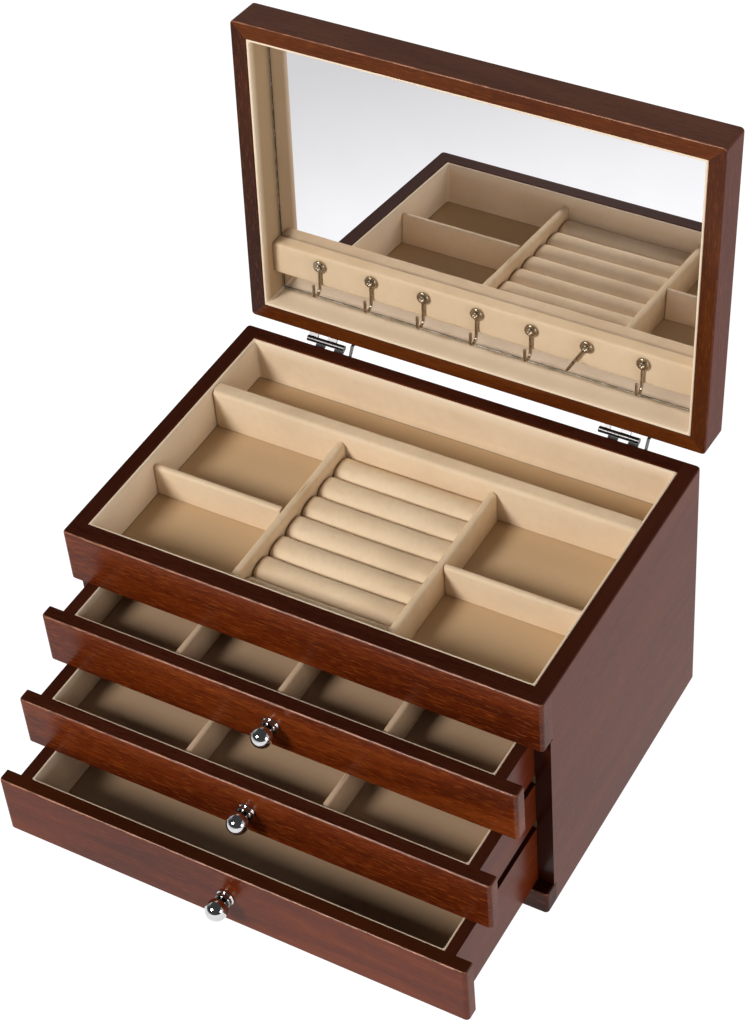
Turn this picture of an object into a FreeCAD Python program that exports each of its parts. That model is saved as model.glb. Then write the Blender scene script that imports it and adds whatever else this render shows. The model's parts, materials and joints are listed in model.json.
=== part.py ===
"""Wooden jewellery box: lift-up lid with mirror and necklace hooks, lined tray, three pull-out drawers.

The box is drawn in the pose it is stored in: the lid stands open on its stops and the drawers are
pulled out like stairs.  Each piece is drawn in the frame of what carries it, and its placement then
takes it to the box: case pieces from the front bottom edge of the case, drawer pieces from the front
bottom edge of their drawer front, lid pieces from the hinge axis with the lid shut.
X runs to the right, Y to the back and Z up; lengths are millimetres and angles degrees.
"""
import FreeCAD
import Part
import math
import os
import re
import Sketcher

SIZES = {
    # case
    "case_width": 290.0,
    "case_depth": 194.0,
    "case_height": 169.0,
    "side_thickness": 9.4,
    "front_rail_thickness": 10.8,
    "front_rail_height": 35.5,
    "back_thickness": 9.2,
    "base_rail_thickness": 10.8,
    "base_rail_height": 16.0,
    "base_board_thickness": 5.0,
    "glue_block_size": 14.0,
    "shelf_thickness": 6.0,
    "shelf_gap": 0.8,
    "corner_radius": 2.4,
    "back_corner_radius": 2.4,
    "rim_radius": 1.3,
    "arris_radius": 1.0,
    # feet
    "foot_height": 3.0,
    "foot_radius": 6.0,
    "foot_edge": 0.8,
    "front_foot_inset": 14.0,
    "back_foot_inset": 7.4,
    # tray
    "tray_depth": 28.5,
    "tray_board_thickness": 3.0,
    "lining_thickness": 1.8,
    "lining_drop": 0.4,
    "back_bay_depth": 38.5,
    "cross_divider_thickness": 10.0,
    "cross_divider_drop": 1.8,
    "cross_front_round": 3.0,
    "cross_back_round": 1.4,
    "divider_end_gap": 0.4,
    "divider_thickness": 4.8,
    "divider_drop": 7.5,
    "ring_bay_width": 91.2,
    "short_divider_thickness": 4.0,
    "roll_count": 7,
    "roll_gap": 0.2,
    "roll_height": 14.8,
    "roll_end_drop": 0.7,
    "roll_end_gap": 0.3,
    # drawers
    "drawer_front_thickness": 8.0,
    "drawer_closed_gap": 0.3,
    "drawer_reveal": 1.6,
    "bottom_front_height": 41.5,
    "slide_clearance": 0.3,
    "drawer_side_thickness": 6.5,
    "drawer_back_thickness": 6.0,
    "drawer_rear_gap": 3.0,
    "drawer_bottom_thickness": 2.5,
    "drawer_groove_depth": 3.0,
    "drawer_groove_rise": 2.0,
    "drawer_lining_thickness": 1.5,
    "drawer_lining_drop": 0.5,
    "drawer_divider_thickness": 4.0,
    "drawer_divider_drop": 2.5,
    "top_drawer_pull": 30.1,
    "middle_drawer_pull": 61.6,
    "bottom_drawer_pull": 90.9,
    # knobs
    "knob_flange_radius": 6.0,
    "knob_flange_thickness": 1.8,
    "knob_flange_edge": 0.5,
    "knob_neck_radius": 3.0,
    "knob_neck_start": 4.4,
    "knob_bell_radius": 3.4,
    "knob_ball_radius": 6.0,
    "knob_ball_centre": 10.5,
    "knob_bore_depth": 5.0,
    "knob_screw_radius": 1.5,
    "knob_screw_clearance": 0.1,
    "knob_screw_head_radius": 3.0,
    "knob_screw_head_height": 1.6,
    "knob_screw_recess": 2.2,
    # lid
    "lid_angle": 94.2,
    "lid_height": 23.6,
    "lid_seat_gap": 0.3,
    "lid_rail_thickness": 9.2,
    "lid_edge_radius": 1.6,
    "lid_panel_thickness": 2.3,
    "mirror_thickness": 1.8,
    "mirror_clearance": 0.3,
    "mirror_bevel_width": 5.5,
    "mirror_bevel_depth": 0.8,
    # hinges
    "hinge_setback": 4.0,
    "hinge_inset": 38.7,
    "barrel_radius": 1.75,
    "pin_radius": 0.9,
    "pin_clearance": 0.05,
    "knuckle_length": 6.0,
    "knuckle_gap": 0.2,
    "leaf_thickness": 1.0,
    "leaf_depth": 7.0,
    "leaf_drop": 3.0,
    "stop_arm_width": 1.5,
    "stop_arm_gap": 4.4,
    "stop_arm_reach": 4.5,
    "stop_arm_depth": 1.1,
    "stop_clearance": 0.25,
    # hook bar and hooks
    "hook_bar_low": 27.5,
    "hook_bar_width": 20.4,
    "hook_bar_depth": 9.5,
    "hook_bar_radius": 1.6,
    "hook_count": 7,
    "hook_end_margin": 32.0,
    "hook_drop_from_bar_top": 6.4,
    "hook_eye_radius": 3.8,
    "hook_eye_thickness": 2.0,
    "hook_eye_round": 0.7,
    "hook_play": 0.12,
    "hook_wire_radius": 0.95,
    "hook_shank": 14.4,
    "hook_bend_radius": 3.5,
    "hook_tip": 5.7,
    "hook_screw_radius": 1.05,
    "hook_screw_length": 6.0,
    "hook_screw_head_radius": 2.3,
    "hook_screw_head_height": 1.3,
    "hook_screw_head_bevel": 0.6,
    "hook_swing": 30.0,
}
SWUNG_HOOK = 6

doc = FreeCAD.newDocument("JewelleryBox")
sheet = doc.addObject("Spreadsheet::Sheet", "Sizes")
for row, (alias, number) in enumerate(SIZES.items(), start=1):
    sheet.set(f"A{row}", alias)
    sheet.set(f"B{row}", str(number))
    sheet.setAlias(f"B{row}", alias)
doc.recompute()

# Places and sizes that follow from the driving ones, written in their names.
HALF = "case_width / 2"
INNER = f"({HALF} - side_thickness)"
RIM = "case_height"
NOTCH = "(drawer_front_thickness + drawer_closed_gap)"
BACK_INNER = "(case_depth - back_thickness)"
TRAY_FLOOR = f"({RIM} - tray_depth)"
TRAY_BOARD_TOP = f"({TRAY_FLOOR} - lining_thickness)"
TRAY_X = f"({INNER} - lining_thickness)"
TRAY_FRONT = "(front_rail_thickness + lining_thickness)"
TRAY_BACK = f"({BACK_INNER} - lining_thickness)"
CROSS_BACK = f"({TRAY_BACK} - back_bay_depth)"
CROSS_FRONT = f"({CROSS_BACK} - cross_divider_thickness)"
DIVIDER_IN = "(ring_bay_width / 2)"
DIVIDER_OUT = "(ring_bay_width / 2 + divider_thickness)"
SHORT_Y = f"(({TRAY_FRONT} + {CROSS_FRONT}) / 2)"
ROLL_PITCH = f"(({CROSS_FRONT} - {TRAY_FRONT}) / roll_count)"
UPPER_FRONT_HEIGHT = ("((case_height - front_rail_height - base_rail_height - 4 * drawer_reveal"
                      " - bottom_front_height) / 2)")
BOTTOM_Z = "(base_rail_height + drawer_reveal)"
MIDDLE_Z = f"({BOTTOM_Z} + bottom_front_height + drawer_reveal)"
TOP_Z = f"({MIDDLE_Z} + {UPPER_FRONT_HEIGHT} + drawer_reveal)"
SHELF_RISE = "(shelf_gap + shelf_thickness + slide_clearance - drawer_reveal)"
BASE_RISE = "(slide_clearance - drawer_reveal)"
BODY_X = f"({INNER} - slide_clearance)"
BODY_INNER_X = f"({BODY_X} - drawer_side_thickness)"
BODY_END = f"({BACK_INNER} - drawer_rear_gap)"
BODY_INNER_END = f"({BODY_END} - drawer_back_thickness)"
LINED_X = f"({BODY_INNER_X} - drawer_lining_thickness)"
LINED_FRONT = "(drawer_front_thickness + drawer_lining_thickness)"
LINED_END = f"({BODY_INNER_END} - drawer_lining_thickness)"
BORE = "(knob_screw_radius + knob_screw_clearance)"
LID_FRONT = "(-hinge_setback - case_depth)"
LID_BACK = "(-hinge_setback)"
LID_TOP = "(lid_seat_gap + lid_height)"
LID_INNER_X = f"({HALF} - lid_rail_thickness)"
LID_INNER_FRONT = f"({LID_FRONT} + lid_rail_thickness)"
LID_INNER_BACK = f"({LID_BACK} - lid_rail_thickness)"
MIRROR_TOP = f"({LID_TOP} - lid_panel_thickness)"
MIRROR_FACE = f"({MIRROR_TOP} - mirror_thickness)"
BAR_FACE = f"({MIRROR_FACE} - hook_bar_depth)"
BAR_X = f"({LID_INNER_X} - lining_thickness)"
BAR_LOW = "(-hinge_setback - hook_bar_low)"
BAR_HIGH = f"({BAR_LOW} - hook_bar_width)"
HOOK_Y = f"({BAR_HIGH} + hook_drop_from_bar_top)"
HOOK_PITCH = f"(2 * ({BAR_X} - hook_end_margin) / (hook_count - 1))"
BARREL_LENGTH = "(4 * knuckle_length + 3 * knuckle_gap)"
BARREL_START = f"(hinge_inset - {HALF})"
BARREL_END = f"({BARREL_START} + {BARREL_LENGTH})"
HINGE_SPACING = f"(case_width - 2 * hinge_inset - {BARREL_LENGTH})"
ARM_START = f"({BARREL_END} + stop_arm_gap)"
LEAF_BORE = "(pin_radius + pin_clearance)"
EYE_MID = f"({BAR_FACE} - hook_play - hook_eye_thickness / 2)"

# The box stands centred: halfway between the lowest knob and the back of the open lid.
LID_REACH = ("((hinge_setback + case_depth - lid_edge_radius) * -cos(lid_angle * 1 deg)"
             f" + ({LID_TOP} - lid_edge_radius) * sin(lid_angle * 1 deg) + lid_edge_radius)")
FRONT_Y = ("((bottom_drawer_pull + knob_ball_centre + knob_ball_radius"
           f" - case_depth - hinge_setback - {LID_REACH}) / 2)")
AXIS_Y = f"({FRONT_Y} + case_depth + hinge_setback)"
AXIS_Z = "(foot_height + case_height)"

TOLERANCE = 1e-4


def bound(text):
    """The expression with each size's name pointing at its cell."""
    return re.sub(r"[a-z]\w*", lambda word: "Sizes." + word[0] if word[0] in SIZES else word[0], str(text))


def value(text):
    return float(sheet.evalExpression(bound(text)))


def bind(target, prop, text):
    target.setExpression(prop, bound(text))


def origin(body, role):
    return next(feature for feature in body.Origin.OriginFeatures if feature.Role == role)


def case_body(label):
    """A body in the case's frame."""
    body = doc.addObject("PartDesign::Body", label)
    body.Label = label
    bind(body, "Placement.Base.y", FRONT_Y)
    bind(body, "Placement.Base.z", "foot_height")
    return body


def drawer_body(label, pull, level):
    """A body in a drawer's frame, pulled out of the case."""
    body = doc.addObject("PartDesign::Body", label)
    body.Label = label
    bind(body, "Placement.Base.y", f"{FRONT_Y} - {pull}")
    bind(body, "Placement.Base.z", f"foot_height + {level}")
    return body


def lid_body(label):
    """A body in the lid's frame, turned open about the hinge axis."""
    body = doc.addObject("PartDesign::Body", label)
    body.Label = label
    body.Placement.Rotation = FreeCAD.Rotation(FreeCAD.Vector(-1, 0, 0), value("lid_angle"))
    bind(body, "Placement.Base.y", AXIS_Y)
    bind(body, "Placement.Base.z", AXIS_Z)
    bind(body, "Placement.Rotation.Angle", "lid_angle")
    return body


def sketch_on(body, role, level="0"):
    """A sketch on one of the body's own planes, moved along that plane's normal to a level."""
    sketch = body.newObject("Sketcher::SketchObject", "Sketch")
    sketch.AttachmentSupport = [(origin(body, role), "")]
    sketch.MapMode = "FlatFace"
    bind(sketch, "AttachmentOffset.Base.z", level)
    return sketch


def tie(sketch, index, point, x, y):
    """Holds a point of the sketch at bound coordinates."""
    for kind, text in (("DistanceX", x), ("DistanceY", y)):
        number = sketch.addConstraint(Sketcher.Constraint(kind, -1, 1, index, point, value(text)))
        bind(sketch, f"Constraints[{number}]", text)


def arc_middle(start, end, radius):
    """The middle of an arc; a positive radius bulges to the right of the way from start to end."""
    chord = end - start
    rise = abs(radius) - math.sqrt(max(radius * radius - chord.Length ** 2 / 4, 0.0))
    side = FreeCAD.Vector(chord.y, -chord.x, 0).normalize()
    return (start + end) * 0.5 + side * math.copysign(rise, radius)


def outline(sketch, nodes):
    """A closed outline; a node's third entry is the radius of the arc that leaves it."""
    points = [FreeCAD.Vector(value(node[0]), value(node[1]), 0) for node in nodes]
    firsts = []
    lasts = []
    for index, node in enumerate(nodes):
        start = points[index]
        end = points[(index + 1) % len(nodes)]
        if len(node) == 2:
            sketch.addGeometry(Part.LineSegment(start, end))
            forward = True
        else:
            sketch.addGeometry(Part.Arc(start, arc_middle(start, end, value(node[2])), end))
            forward = sketch.getPoint(index, 1).distanceToPoint(start) < TOLERANCE
        firsts.append(1 if forward else 2)
        lasts.append(2 if forward else 1)
    for index in range(len(nodes)):
        follower = (index + 1) % len(nodes)
        sketch.addConstraint(
            Sketcher.Constraint("Coincident", index, lasts[index], follower, firsts[follower]))
    for index, node in enumerate(nodes):
        tie(sketch, index, firsts[index], node[0], node[1])
        if len(node) == 3:
            number = sketch.addConstraint(Sketcher.Constraint("Radius", index, abs(value(node[2]))))
            bind(sketch, f"Constraints[{number}]", f"abs({node[2]})")


def circle(sketch, x, y, radius):
    index = sketch.addGeometry(
        Part.Circle(FreeCAD.Vector(value(x), value(y), 0), FreeCAD.Vector(0, 0, 1), value(radius)))
    tie(sketch, index, 3, x, y)
    number = sketch.addConstraint(Sketcher.Constraint("Radius", index, value(radius)))
    bind(sketch, f"Constraints[{number}]", radius)


def rectangle(sketch, x, y):
    outline(sketch, [(x[0], y[0]), (x[1], y[0]), (x[1], y[1]), (x[0], y[1])])


def pad(body, sketch, length, reverse=False):
    feature = body.newObject("PartDesign::Pad", "Pad")
    feature.Profile = sketch
    feature.Reversed = reverse
    bind(feature, "Length", length)
    doc.recompute()
    return feature


def pocket(body, sketch, length, reverse=False):
    """Cuts material away, and says so if nothing was there to cut."""
    before = body.Shape.Volume
    feature = body.newObject("PartDesign::Pocket", "Pocket")
    feature.Profile = sketch
    feature.Reversed = reverse
    bind(feature, "Length", length)
    doc.recompute()
    if body.Shape.Volume > before - TOLERANCE:
        raise ValueError(f"{body.Label}: a pocket cuts nothing")
    return feature


def block(body, x, y, z):
    """A plain board between bound limits."""
    sketch = sketch_on(body, "XY_Plane", z[0])
    rectangle(sketch, x, y)
    return pad(body, sketch, f"({z[1]}) - ({z[0]})")


def recess(body, x, y, z):
    """A box cut out of a board, open at its top."""
    sketch = sketch_on(body, "XY_Plane", z[1])
    rectangle(sketch, x, y)
    return pocket(body, sketch, f"({z[1]}) - ({z[0]})")


def along_x(body, nodes, x):
    """An outline in Y and Z, run from one X to another."""
    sketch = sketch_on(body, "YZ_Plane", x[0])
    outline(sketch, nodes)
    return pad(body, sketch, f"({x[1]}) - ({x[0]})")


def along_y(body, nodes, y):
    """An outline in X and Z, run from one Y to another."""
    sketch = sketch_on(body, "XZ_Plane", f"-({y[0]})")
    outline(sketch, nodes)
    return pad(body, sketch, f"({y[1]}) - ({y[0]})", reverse=True)


def dress_edges(body, kind, wanted):
    """A fillet or chamfer on the edges of the body whose boxes pass a test."""
    base = body.Tip
    chosen = [f"Edge{number}" for number, edge in enumerate(base.Shape.Edges, start=1)
              if wanted(edge.BoundBox)]
    feature = body.newObject(f"PartDesign::{kind}", kind)
    feature.Base = (base, chosen)
    return feature


def round_edges(body, radius, wanted):
    bind(dress_edges(body, "Fillet", wanted), "Radius", radius)
    doc.recompute()


def bevel_edges(body, size, wanted):
    bind(dress_edges(body, "Chamfer", wanted), "Size", size)
    doc.recompute()


def near(number, text):
    return abs(number - value(text)) < TOLERANCE


def repeat(body, axis, length, count):
    """Repeats the whole body along one of its axes."""
    original = body.Tip
    feature = body.newObject("PartDesign::LinearPattern", "LinearPattern")
    feature.Originals = [original]
    feature.TransformMode = "Whole shape"
    feature.Direction = (origin(body, axis), [""])
    bind(feature, "Length", length)
    bind(feature, "Occurrences", count)
    body.Tip = feature
    doc.recompute()


def round_top(low, high, foot, top):
    """The outline of a padded board that stands on its foot and is fully round at the top."""
    middle = f"(({low} + {high}) / 2)"
    radius = f"(({high} - {low}) / 2)"
    return [(low, foot), (high, foot), (high, f"{top} - {radius}", radius),
            (middle, top, radius), (low, f"{top} - {radius}")]


def eased_top(low, high, foot, top, low_round, high_round):
    """The outline of a thicker padded board, with its two top edges rounded by different amounts."""
    return [(low, foot), (high, foot), (high, f"{top} - {high_round}", high_round),
            (f"{high} - {high_round}", top), (f"{low} + {low_round}", top, low_round),
            (low, f"{top} - {low_round}")]


# Case

def case_side(label, side):
    """A side board, cut back in front for the two rails and for the drawer fronts."""
    body = case_body(label)
    outer = f"({side} * {HALF})"
    start = f"-{HALF}" if side < 0 else INNER
    along_x(body, [
        ("base_rail_thickness", "0"), ("case_depth", "0"), ("case_depth", RIM),
        ("front_rail_thickness", RIM), ("front_rail_thickness", f"{RIM} - front_rail_height"),
        (NOTCH, f"{RIM} - front_rail_height"), (NOTCH, "base_rail_height"),
        ("base_rail_thickness", "base_rail_height")], (start, f"{start} + side_thickness"))
    face = lambda box: near(box.XMin, outer) and near(box.XMax, outer)
    round_edges(body, "back_corner_radius", lambda box: face(box) and near(box.YMin, "case_depth"))
    round_edges(body, "rim_radius", lambda box: face(box) and near(box.ZMin, RIM))
    round_edges(body, "arris_radius", lambda box: face(box) and near(box.ZMax, "0"))


def front_rail(label, thickness, low, high):
    """A rail across the whole front, with round ends and eased edges."""
    body = case_body(label)
    block(body, (f"-{HALF}", HALF), ("0", thickness), (low, high))
    round_edges(body, "corner_radius", lambda box: near(box.YMax, "0") and box.ZLength > box.XLength)
    round_edges(body, "rim_radius", lambda box: near(box.ZMin, high) and not near(box.YMin, thickness))
    round_edges(body, "arris_radius", lambda box: near(box.ZMax, low) and not near(box.YMin, thickness))


def back_panel():
    """The back board between the sides, with a saw kerf for each hinge leaf and its stop arm."""
    body = case_body("case_back_panel")
    block(body, (f"-{INNER}", INNER), (BACK_INNER, "case_depth"), ("0", RIM))
    round_edges(body, "rim_radius", lambda box: near(box.YMin, "case_depth") and near(box.ZMin, RIM))
    for shift in ("0", HINGE_SPACING):
        recess(body, (f"{BARREL_START} + {shift}", f"{ARM_START} + stop_arm_width + {shift}"),
               ("case_depth - leaf_depth", "case_depth"),
               (f"{RIM} - leaf_drop - leaf_thickness", f"{RIM} - leaf_drop"))


def case_board(label, y, z):
    """A board let in between the two sides."""
    block(case_body(label), (f"-{INNER}", INNER), y, z)


def base_board():
    """The bottom board, with a glue block under each corner that the feet are fixed to."""
    body = case_body("case_base_board")
    underside = "(base_rail_height - base_board_thickness)"
    block(body, (f"-{INNER}", INNER), ("base_rail_thickness", BACK_INNER), (underside, "base_rail_height"))
    for x in ((f"-{INNER}", f"glue_block_size - {INNER}"), (f"{INNER} - glue_block_size", INNER)):
        for y in (("base_rail_thickness", "base_rail_thickness + glue_block_size"),
                  (f"{BACK_INNER} - glue_block_size", BACK_INNER)):
            block(body, x, y, ("0", underside))


def feet():
    """Four round bumpers under the corners, the front pair set further in."""
    body = case_body("feet")
    sketch = sketch_on(body, "XY_Plane", "-foot_height")
    for side in (-1, 1):
        circle(sketch, f"{side} * ({HALF} - front_foot_inset)", "front_foot_inset", "foot_radius")
        circle(sketch, f"{side} * ({HALF} - back_foot_inset)", "case_depth - back_foot_inset", "foot_radius")
    pad(body, sketch, "foot_height")
    bevel_edges(body, "foot_edge", lambda box: near(box.ZMax, "-foot_height"))


case_side("case_left_side", -1)
case_side("case_right_side", 1)
front_rail("case_front_rail", "front_rail_thickness", f"{RIM} - front_rail_height", RIM)
front_rail("case_base_rail", "base_rail_thickness", "0", "base_rail_height")
back_panel()
base_board()
case_board("lower_shelf", (NOTCH, BACK_INNER), (f"{MIDDLE_Z} - drawer_reveal + shelf_gap",
           f"{MIDDLE_Z} - drawer_reveal + shelf_gap + shelf_thickness"))
case_board("upper_shelf", (NOTCH, BACK_INNER), (f"{TOP_Z} - drawer_reveal + shelf_gap",
           f"{TOP_Z} - drawer_reveal + shelf_gap + shelf_thickness"))
case_board("tray_board", ("front_rail_thickness", BACK_INNER),
           (f"{TRAY_BOARD_TOP} - tray_board_thickness", TRAY_BOARD_TOP))
feet()


# Lined tray

def tray_lining():
    """The velvet-covered insert: walls all round and a floor, open at the top."""
    body = case_body("tray_lining")
    top = f"{RIM} - lining_drop"
    block(body, (f"-{INNER}", INNER), ("front_rail_thickness", BACK_INNER), (TRAY_BOARD_TOP, top))
    recess(body, (f"-{TRAY_X}", TRAY_X), (TRAY_FRONT, TRAY_BACK), (TRAY_FLOOR, top))


def ring_rolls():
    """Padded rolls side by side, fullest in the middle and drawn in at their ends."""
    body = case_body("ring_rolls")
    loft = body.newObject("PartDesign::AdditiveLoft", "AdditiveLoft")
    sections = []
    for place in (-1, -0.7, -0.3, 0.3, 0.7, 1):
        sketch = sketch_on(body, "YZ_Plane", f"{place} * ({DIVIDER_IN} - roll_end_gap)")
        drop = f"(roll_end_drop * pow({place}; 2))"
        width = f"({ROLL_PITCH} - roll_gap - {drop})"
        middle = f"({TRAY_FRONT} + {ROLL_PITCH} / 2)"
        outline(sketch, round_top(f"({middle} - {width} / 2)", f"({middle} + {width} / 2)", TRAY_FLOOR,
                                  f"({TRAY_FLOOR} + roll_height - {drop})"))
        sections.append(sketch)
    loft.Profile = sections[0]
    loft.Sections = sections[1:]
    loft.Ruled = True
    doc.recompute()
    repeat(body, "Y_Axis", f"(roll_count - 1) * {ROLL_PITCH}", "roll_count")


tray_lining()
along_x(case_body("tray_cross_divider"),
        eased_top(CROSS_FRONT, CROSS_BACK, TRAY_FLOOR, f"({RIM} - cross_divider_drop)",
                  "cross_front_round", "cross_back_round"),
        (f"divider_end_gap - {TRAY_X}", f"{TRAY_X} - divider_end_gap"))
long_dividers = case_body("tray_long_dividers")
short_dividers = case_body("tray_short_dividers")
for sign in (-1, 1):
    inner_end = f"({sign} * {DIVIDER_IN})"
    outer_end = f"({sign} * {DIVIDER_OUT})"
    ends = (inner_end, outer_end) if sign > 0 else (outer_end, inner_end)
    along_y(long_dividers, round_top(ends[0], ends[1], TRAY_FLOOR, f"({RIM} - divider_drop)"),
            (TRAY_FRONT, f"{CROSS_FRONT} - divider_end_gap"))
    wall_end = f"({TRAY_X} - divider_end_gap)"
    span = (DIVIDER_OUT, wall_end) if sign > 0 else (f"-{wall_end}", f"-{DIVIDER_OUT}")
    along_x(short_dividers,
            round_top(f"({SHORT_Y} - short_divider_thickness / 2)",
                      f"({SHORT_Y} + short_divider_thickness / 2)", TRAY_FLOOR,
                      f"({RIM} - divider_drop)"), span)
ring_rolls()


# Drawers

def drawer(name, level, height, pull, rise, compartments):
    """One drawer: an overlay front with a box behind it, lined and split into compartments."""
    prefix = f"drawer_{name}"
    floor = f"({rise} + drawer_groove_rise)"
    bottom_top = f"({floor} + drawer_bottom_thickness)"
    lined_floor = f"({bottom_top} + drawer_lining_thickness)"
    lined_top = f"({height} - drawer_lining_drop)"
    tongue_x = f"({BODY_INNER_X} + drawer_groove_depth)"
    tongue_front = "(drawer_front_thickness - drawer_groove_depth)"
    knob_z = f"max({height} / 2; {bottom_top} + knob_screw_head_radius + 2 * knob_screw_clearance)"

    def piece(part):
        return drawer_body(f"{prefix}_{part}", pull, level)

    front = piece("front")
    block(front, (f"-{HALF}", HALF), ("0", "drawer_front_thickness"), ("0", height))
    round_edges(front, "corner_radius", lambda box: near(box.YMax, "0") and box.ZLength > box.XLength)
    round_edges(front, "rim_radius", lambda box: near(box.ZMin, height)
                and not near(box.YMin, "drawer_front_thickness"))
    round_edges(front, "arris_radius", lambda box: near(box.ZMax, "0")
                and not near(box.YMin, "drawer_front_thickness"))
    recess(front, (f"-{BODY_INNER_X}", BODY_INNER_X), (tongue_front, "drawer_front_thickness"),
           (floor, bottom_top))
    for radius, depth in ((BORE, "drawer_front_thickness"),
                          ("knob_screw_head_radius + knob_screw_clearance", "knob_screw_recess")):
        hole = sketch_on(front, "XZ_Plane", "-drawer_front_thickness")
        circle(hole, "0", knob_z, radius)
        pocket(front, hole, depth, reverse=True)

    for part, sign in (("left_side", -1), ("right_side", 1)):
        side = piece(part)
        outer = (f"-{BODY_X}", f"-{BODY_INNER_X}") if sign < 0 else (BODY_INNER_X, BODY_X)
        groove = (f"-{tongue_x}", f"-{BODY_INNER_X}") if sign < 0 else (BODY_INNER_X, tongue_x)
        block(side, outer, ("drawer_front_thickness", BODY_END), (rise, height))
        recess(side, groove, ("drawer_front_thickness", BODY_END), (floor, bottom_top))

    block(piece("back"), (f"-{BODY_INNER_X}", BODY_INNER_X), (BODY_INNER_END, BODY_END), (bottom_top, height))

    bottom = piece("bottom")
    sketch = sketch_on(bottom, "XY_Plane", floor)
    outline(sketch, [
        (f"-{BODY_INNER_X}", tongue_front), (BODY_INNER_X, tongue_front),
        (BODY_INNER_X, "drawer_front_thickness"), (tongue_x, "drawer_front_thickness"),
        (tongue_x, BODY_END), (f"-{tongue_x}", BODY_END),
        (f"-{tongue_x}", "drawer_front_thickness"), (f"-{BODY_INNER_X}", "drawer_front_thickness")])
    pad(bottom, sketch, "drawer_bottom_thickness")

    lining = piece("lining")
    block(lining, (f"-{BODY_INNER_X}", BODY_INNER_X), ("drawer_front_thickness", BODY_INNER_END),
          (bottom_top, lined_top))
    recess(lining, (f"-{LINED_X}", LINED_X), (LINED_FRONT, LINED_END), (lined_floor, lined_top))

    if compartments > 1:
        dividers = piece("dividers")
        for index in range(1, compartments):
            middle = f"({LINED_X} * (2 * {index} / {compartments} - 1))"
            along_y(dividers, round_top(f"({middle} - drawer_divider_thickness / 2)",
                                        f"({middle} + drawer_divider_thickness / 2)", lined_floor,
                                        f"({height} - drawer_divider_drop)"), (LINED_FRONT, LINED_END))

    knob(piece("knob"), knob_z)
    screw = piece("knob_screw")
    shaft = sketch_on(screw, "XZ_Plane", "knob_bore_depth")
    circle(shaft, "0", knob_z, "knob_screw_radius")
    pad(screw, shaft, "knob_bore_depth + drawer_front_thickness - knob_screw_recess", reverse=True)
    head = sketch_on(screw, "XZ_Plane", "knob_screw_recess - drawer_front_thickness")
    circle(head, "0", knob_z, "knob_screw_head_radius")
    pad(screw, head, "knob_screw_head_height", reverse=True)


def knob(body, height):
    """A turned ball knob: a flange on the drawer front, a waisted bell, a neck and the ball."""
    sketch = sketch_on(body, "YZ_Plane")
    ball_start = "(-knob_ball_centre + sqrt(pow(knob_ball_radius; 2) - pow(knob_neck_radius; 2)))"
    outline(sketch, [
        ("0", f"{height} + {BORE}"), ("0", f"{height} + knob_flange_radius"),
        ("knob_flange_edge - knob_flange_thickness", f"{height} + knob_flange_radius", "knob_flange_edge"),
        ("-knob_flange_thickness", f"{height} + knob_flange_radius - knob_flange_edge", "-knob_bell_radius"),
        ("-knob_neck_start", f"{height} + knob_neck_radius"),
        (ball_start, f"{height} + knob_neck_radius", "knob_ball_radius"),
        ("-knob_ball_centre", f"{height} + knob_ball_radius", "knob_ball_radius"),
        ("-knob_ball_centre - knob_ball_radius", height),
        ("-knob_bore_depth", height), ("-knob_bore_depth", f"{height} + {BORE}")])
    axis = sketch_on(body, "YZ_Plane")
    line = axis.addGeometry(Part.LineSegment(FreeCAD.Vector(0, value(height), 0),
                                             FreeCAD.Vector(-value("knob_ball_centre"), value(height), 0)))
    tie(axis, line, 1, "0", height)
    tie(axis, line, 2, "-knob_ball_centre", height)
    turned = body.newObject("PartDesign::Revolution", "Revolution")
    turned.Profile = sketch
    turned.ReferenceAxis = (axis, ["Edge1"])
    turned.Angle = 360
    doc.recompute()


drawer("top", TOP_Z, UPPER_FRONT_HEIGHT, "top_drawer_pull", SHELF_RISE, 4)
drawer("middle", MIDDLE_Z, UPPER_FRONT_HEIGHT, "middle_drawer_pull", SHELF_RISE, 3)
drawer("bottom", BOTTOM_Z, "bottom_front_height", "bottom_drawer_pull", BASE_RISE, 1)


# Lid

def lid_rail(label, nodes, outside):
    """A mitred rail of the lid frame, rounded along its outer top edge."""
    body = lid_body(label)
    sketch = sketch_on(body, "XY_Plane", "lid_seat_gap")
    outline(sketch, nodes)
    pad(body, sketch, "lid_height")
    round_edges(body, "lid_edge_radius", lambda box: near(box.ZMin, LID_TOP) and outside(box))
    round_edges(body, "arris_radius", lambda box: near(box.ZMax, "lid_seat_gap") and outside(box))
    return body


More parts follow.
